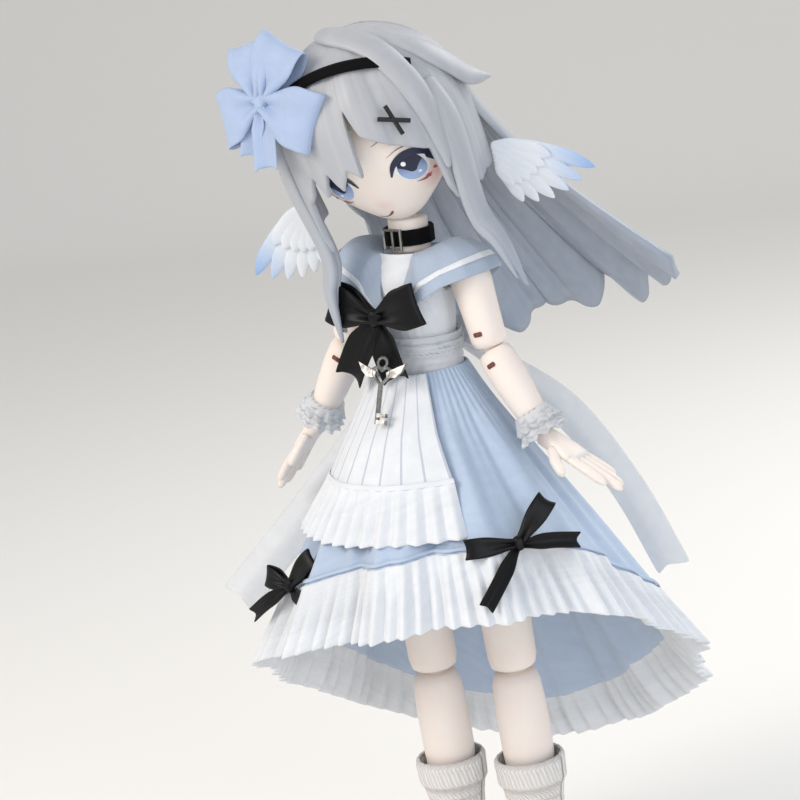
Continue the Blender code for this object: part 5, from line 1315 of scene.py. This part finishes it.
def rounded(name, size, place, kind, joint):
    """A small rounded block, for the pins' ends."""
    shape = bmesh.new()
    bmesh.ops.create_cube(shape, size=1.0)
    bmesh.ops.scale(shape, vec=Vector(size) * MM, verts=shape.verts)
    bmesh.ops.bevel(shape, geom=shape.edges[:], offset=min(size) * 0.22 * MM, segments=3, affect="EDGES")
    settle([new_piece(name, finished(shape, name), kind, joint, place)], joint)


def build_pins():
    """The ends of the elbow pins, flush with the front of each joint, coloured reddish brown as painted shade
    of their recessed holes.
    """
    for _, word in SIDES:
        for row, part, place in (("upper", "upper_arm", (0.2, -2.95, -10.1)),
                                 ("lower", "forearm", (0.2, -3.0, -0.9))):
            # Each pin end is a real pin end, coloured with the painted shade of its recessed hole
            rounded(f"elbow_pin_{row}_{word}", (1.5, 0.5, 0.75), shifted(*place), "pin", f"{word}_{part}")


SHOWN = {
    "joint": ("head_ball", "waist_ball", *(f"{w}_{n}" for w in ("left", "right") for n in (
        "shoulder_ball", "elbow_link", "wrist_ball", "hip_ball", "knee_link", "ankle_ball"))),
    "skin": ("chest", "pelvis", "left_foot", "right_foot"),
    "shoe": ("left_shoe", "right_shoe"),
    "velvet": ("choker",),
    "silver": ("choker_buckle", "key_charm"),
    "clip": ("hair_clip",),
}


def dress_nodes():
    """Give every CAD piece that stays in view its material, with smooth rounded faces."""
    for kind, names in SHOWN.items():
        for name in names:
            node = bpy.data.objects[name]
            node.data.materials.clear()
            node.data.materials.append(KINDS[kind])
            smooth = node.modifiers.new("soft edges", "BEVEL")
            smooth.width, smooth.segments, smooth.limit_method = 0.12 * MM, 2, "ANGLE"


# Stage
def build_stage():
    """A pale floor and backdrop, soft studio lights and the camera at the photo's angle."""
    scene = bpy.context.scene
    rows = []
    for step in range(41):
        t = step / 40
        if t < 0.5:
            y, z = -1200 + 1900 * t * 2, 0.0
        else:
            a = (t - 0.5) * 2 * math.pi / 2
            y, z = 700 + 300 * math.sin(a), 300 * (1 - math.cos(a)) * 2.6
        rows.append([(-1500 + 3000 * i / 4, y, z) for i in range(5)])
    floor = bpy.data.objects.new("stage_floor", grid("stage_floor", rows))
    scene.collection.objects.link(floor)
    paper = Look("pale_paper", linear("#edebe7"), 0.9)
    paper.bump(paper.noise(900.0), 0.05, 0.2)
    floor.data.materials.append(paper.made)
    floor.data.shade_smooth()

    world = bpy.data.worlds.new("soft_room")
    world.use_nodes = True
    world.node_tree.nodes["Background"].inputs["Color"].default_value = (*linear("#e9ebee"), 1)
    world.node_tree.nodes["Background"].inputs["Strength"].default_value = 0.74
    scene.world = world

    for name, place, size, power, tint in (
            ("key_light", (-260, -420, 420), 320, 1.9, "#fff6ec"),
            ("fill_light", (420, -320, 220), 360, 0.75, "#eaf2ff"),
            ("rim_light", (180, 380, 380), 260, 1.2, "#ffffff")):
        light = bpy.data.lights.new(name, "AREA")
        light.shape, light.size, light.energy = "DISK", size * MM, power
        light.color = linear(tint)
        lamp = bpy.data.objects.new(name, light)
        scene.collection.objects.link(lamp)
        aim = Vector((0, 0, 85)) - Vector(place)
        lamp.matrix_world = shifted(*place) @ aim.to_track_quat("-Z", "Y").to_matrix().to_4x4()

    middle = FRAMES["pelvis"].translation - Vector((0, 0, 82)) * MM + Vector((0, 0, 95)) * MM
    side, rise, away = math.radians(28), math.radians(12), 450 * MM
    out = Vector((math.sin(side) * math.cos(rise), -math.cos(side) * math.cos(rise), math.sin(rise)))
    lens = bpy.data.cameras.new("photo_camera")
    lens.lens, lens.sensor_width = 36.0 * 450 / (800 * 0.166), 36.0
    lens.shift_x, lens.shift_y = -0.034, -0.0055
    lens.clip_start, lens.clip_end = 0.01, 20
    camera = bpy.data.objects.new("photo_camera", lens)
    scene.collection.objects.link(camera)
    camera.matrix_world = (Matrix.Translation(middle + out * away)
                           @ (-out).to_track_quat("-Z", "Y").to_matrix().to_4x4()
                           @ turned_by(0, 0, -9.8))
    scene.camera = camera
    scene.view_settings.view_transform = "Standard"


# Add-on
def sizes_of(context):
    """The doll's sizes from the scene."""
    return context.scene.doll_sizes


class DollStep:
    """What every step's operator shares."""
    bl_options = {"REGISTER", "UNDO"}


class OBJECT_OT_doll_materials(DollStep, bpy.types.Operator):
    """Make the doll's materials and put them on the CAD pieces that stay in view"""
    bl_idname = "doll.materials"
    bl_label = "Materials"

    def execute(self, context):
        make_kinds(context.scene.doll_colours, sizes_of(context).stripe / MM)
        dress_nodes()
        return {"FINISHED"}


class OBJECT_OT_doll_body(DollStep, bpy.types.Operator):
    """Build the smooth arms, legs, hands and pin ends"""
    bl_idname = "doll.body"
    bl_label = "Body"

    def execute(self, context):
        build_limbs()
        build_neck()
        build_hands()
        build_pins()
        return {"FINISHED"}


class OBJECT_OT_doll_face(DollStep, bpy.types.Operator):
    """Build the head and paint its face"""
    bl_idname = "doll.face"
    bl_label = "Face"

    def execute(self, context):
        build_face()
        return {"FINISHED"}


class OBJECT_OT_doll_hair(DollStep, bpy.types.Operator):
    """Build the hair, its band and bow, and the ear wings"""
    bl_idname = "doll.hair"
    bl_label = "Hair"

    def execute(self, context):
        build_hair()
        build_band()
        build_wings()
        build_hair_bow()
        return {"FINISHED"}


class OBJECT_OT_doll_bodice(DollStep, bpy.types.Operator):
    """Build the bodice, collar, sash and the bows on them"""
    bl_idname = "doll.bodice"
    bl_label = "Bodice"

    def execute(self, context):
        build_bodice()
        build_collar()
        build_sash()
        build_chest_bow()
        build_back_bow()
        return {"FINISHED"}


class OBJECT_OT_doll_skirt(DollStep, bpy.types.Operator):
    """Build the skirt, apron, ruffles and hem bows"""
    bl_idname = "doll.skirt"
    bl_label = "Skirt"

    def execute(self, context):
        build_skirt(sizes_of(context))
        build_apron()
        build_hem_bows()
        return {"FINISHED"}


class OBJECT_OT_doll_trims(DollStep, bpy.types.Operator):
    """Build the lace cuffs and the socks"""
    bl_idname = "doll.trims"
    bl_label = "Cuffs and Socks"

    def execute(self, context):
        build_cuffs()
        build_socks()
        return {"FINISHED"}


class OBJECT_OT_doll_stage(DollStep, bpy.types.Operator):
    """Build the floor, the lights and the camera"""
    bl_idname = "doll.stage"
    bl_label = "Stage"

    def execute(self, context):
        build_stage()
        return {"FINISHED"}


STEPS = (
    OBJECT_OT_doll_materials, OBJECT_OT_doll_body, OBJECT_OT_doll_face, OBJECT_OT_doll_hair,
    OBJECT_OT_doll_bodice, OBJECT_OT_doll_skirt, OBJECT_OT_doll_trims, OBJECT_OT_doll_stage,
)


class VIEW3D_PT_doll(bpy.types.Panel):
    """The steps and values of the doll in the 3D view's sidebar"""
    bl_label = "Doll"
    bl_category = "Doll"
    bl_space_type = "VIEW_3D"
    bl_region_type = "UI"

    def draw(self, context):
        for step in STEPS:
            self.layout.operator(step.bl_idname)
        for group in (context.scene.doll_colours, context.scene.doll_sizes):
            for name in group.bl_rna.properties.keys():
                if name not in ("rna_type", "name"):
                    self.layout.prop(group, name)


CLASSES = (DollColours, DollSizes, *STEPS, VIEW3D_PT_doll)


def register():
    """Register the classes and the scene's values."""
    for item in CLASSES:
        bpy.utils.register_class(item)
    bpy.types.Scene.doll_colours = bpy.props.PointerProperty(type=DollColours, name="Doll colours")
    bpy.types.Scene.doll_sizes = bpy.props.PointerProperty(type=DollSizes, name="Doll sizes")


def unregister():
    """Remove the scene's values and the classes."""
    del bpy.types.Scene.doll_sizes
    del bpy.types.Scene.doll_colours
    for item in reversed(CLASSES):
        bpy.utils.unregister_class(item)


def main():
    """Build the doll's looks."""
    register()
    bpy.ops.doll.materials()
    bpy.ops.doll.body()
    bpy.ops.doll.face()
    bpy.ops.doll.hair()
    bpy.ops.doll.bodice()
    bpy.ops.doll.skirt()
    bpy.ops.doll.trims()
    bpy.ops.doll.stage()
    bpy.context.view_layer.update()


if __name__ == "__main__":
    main()
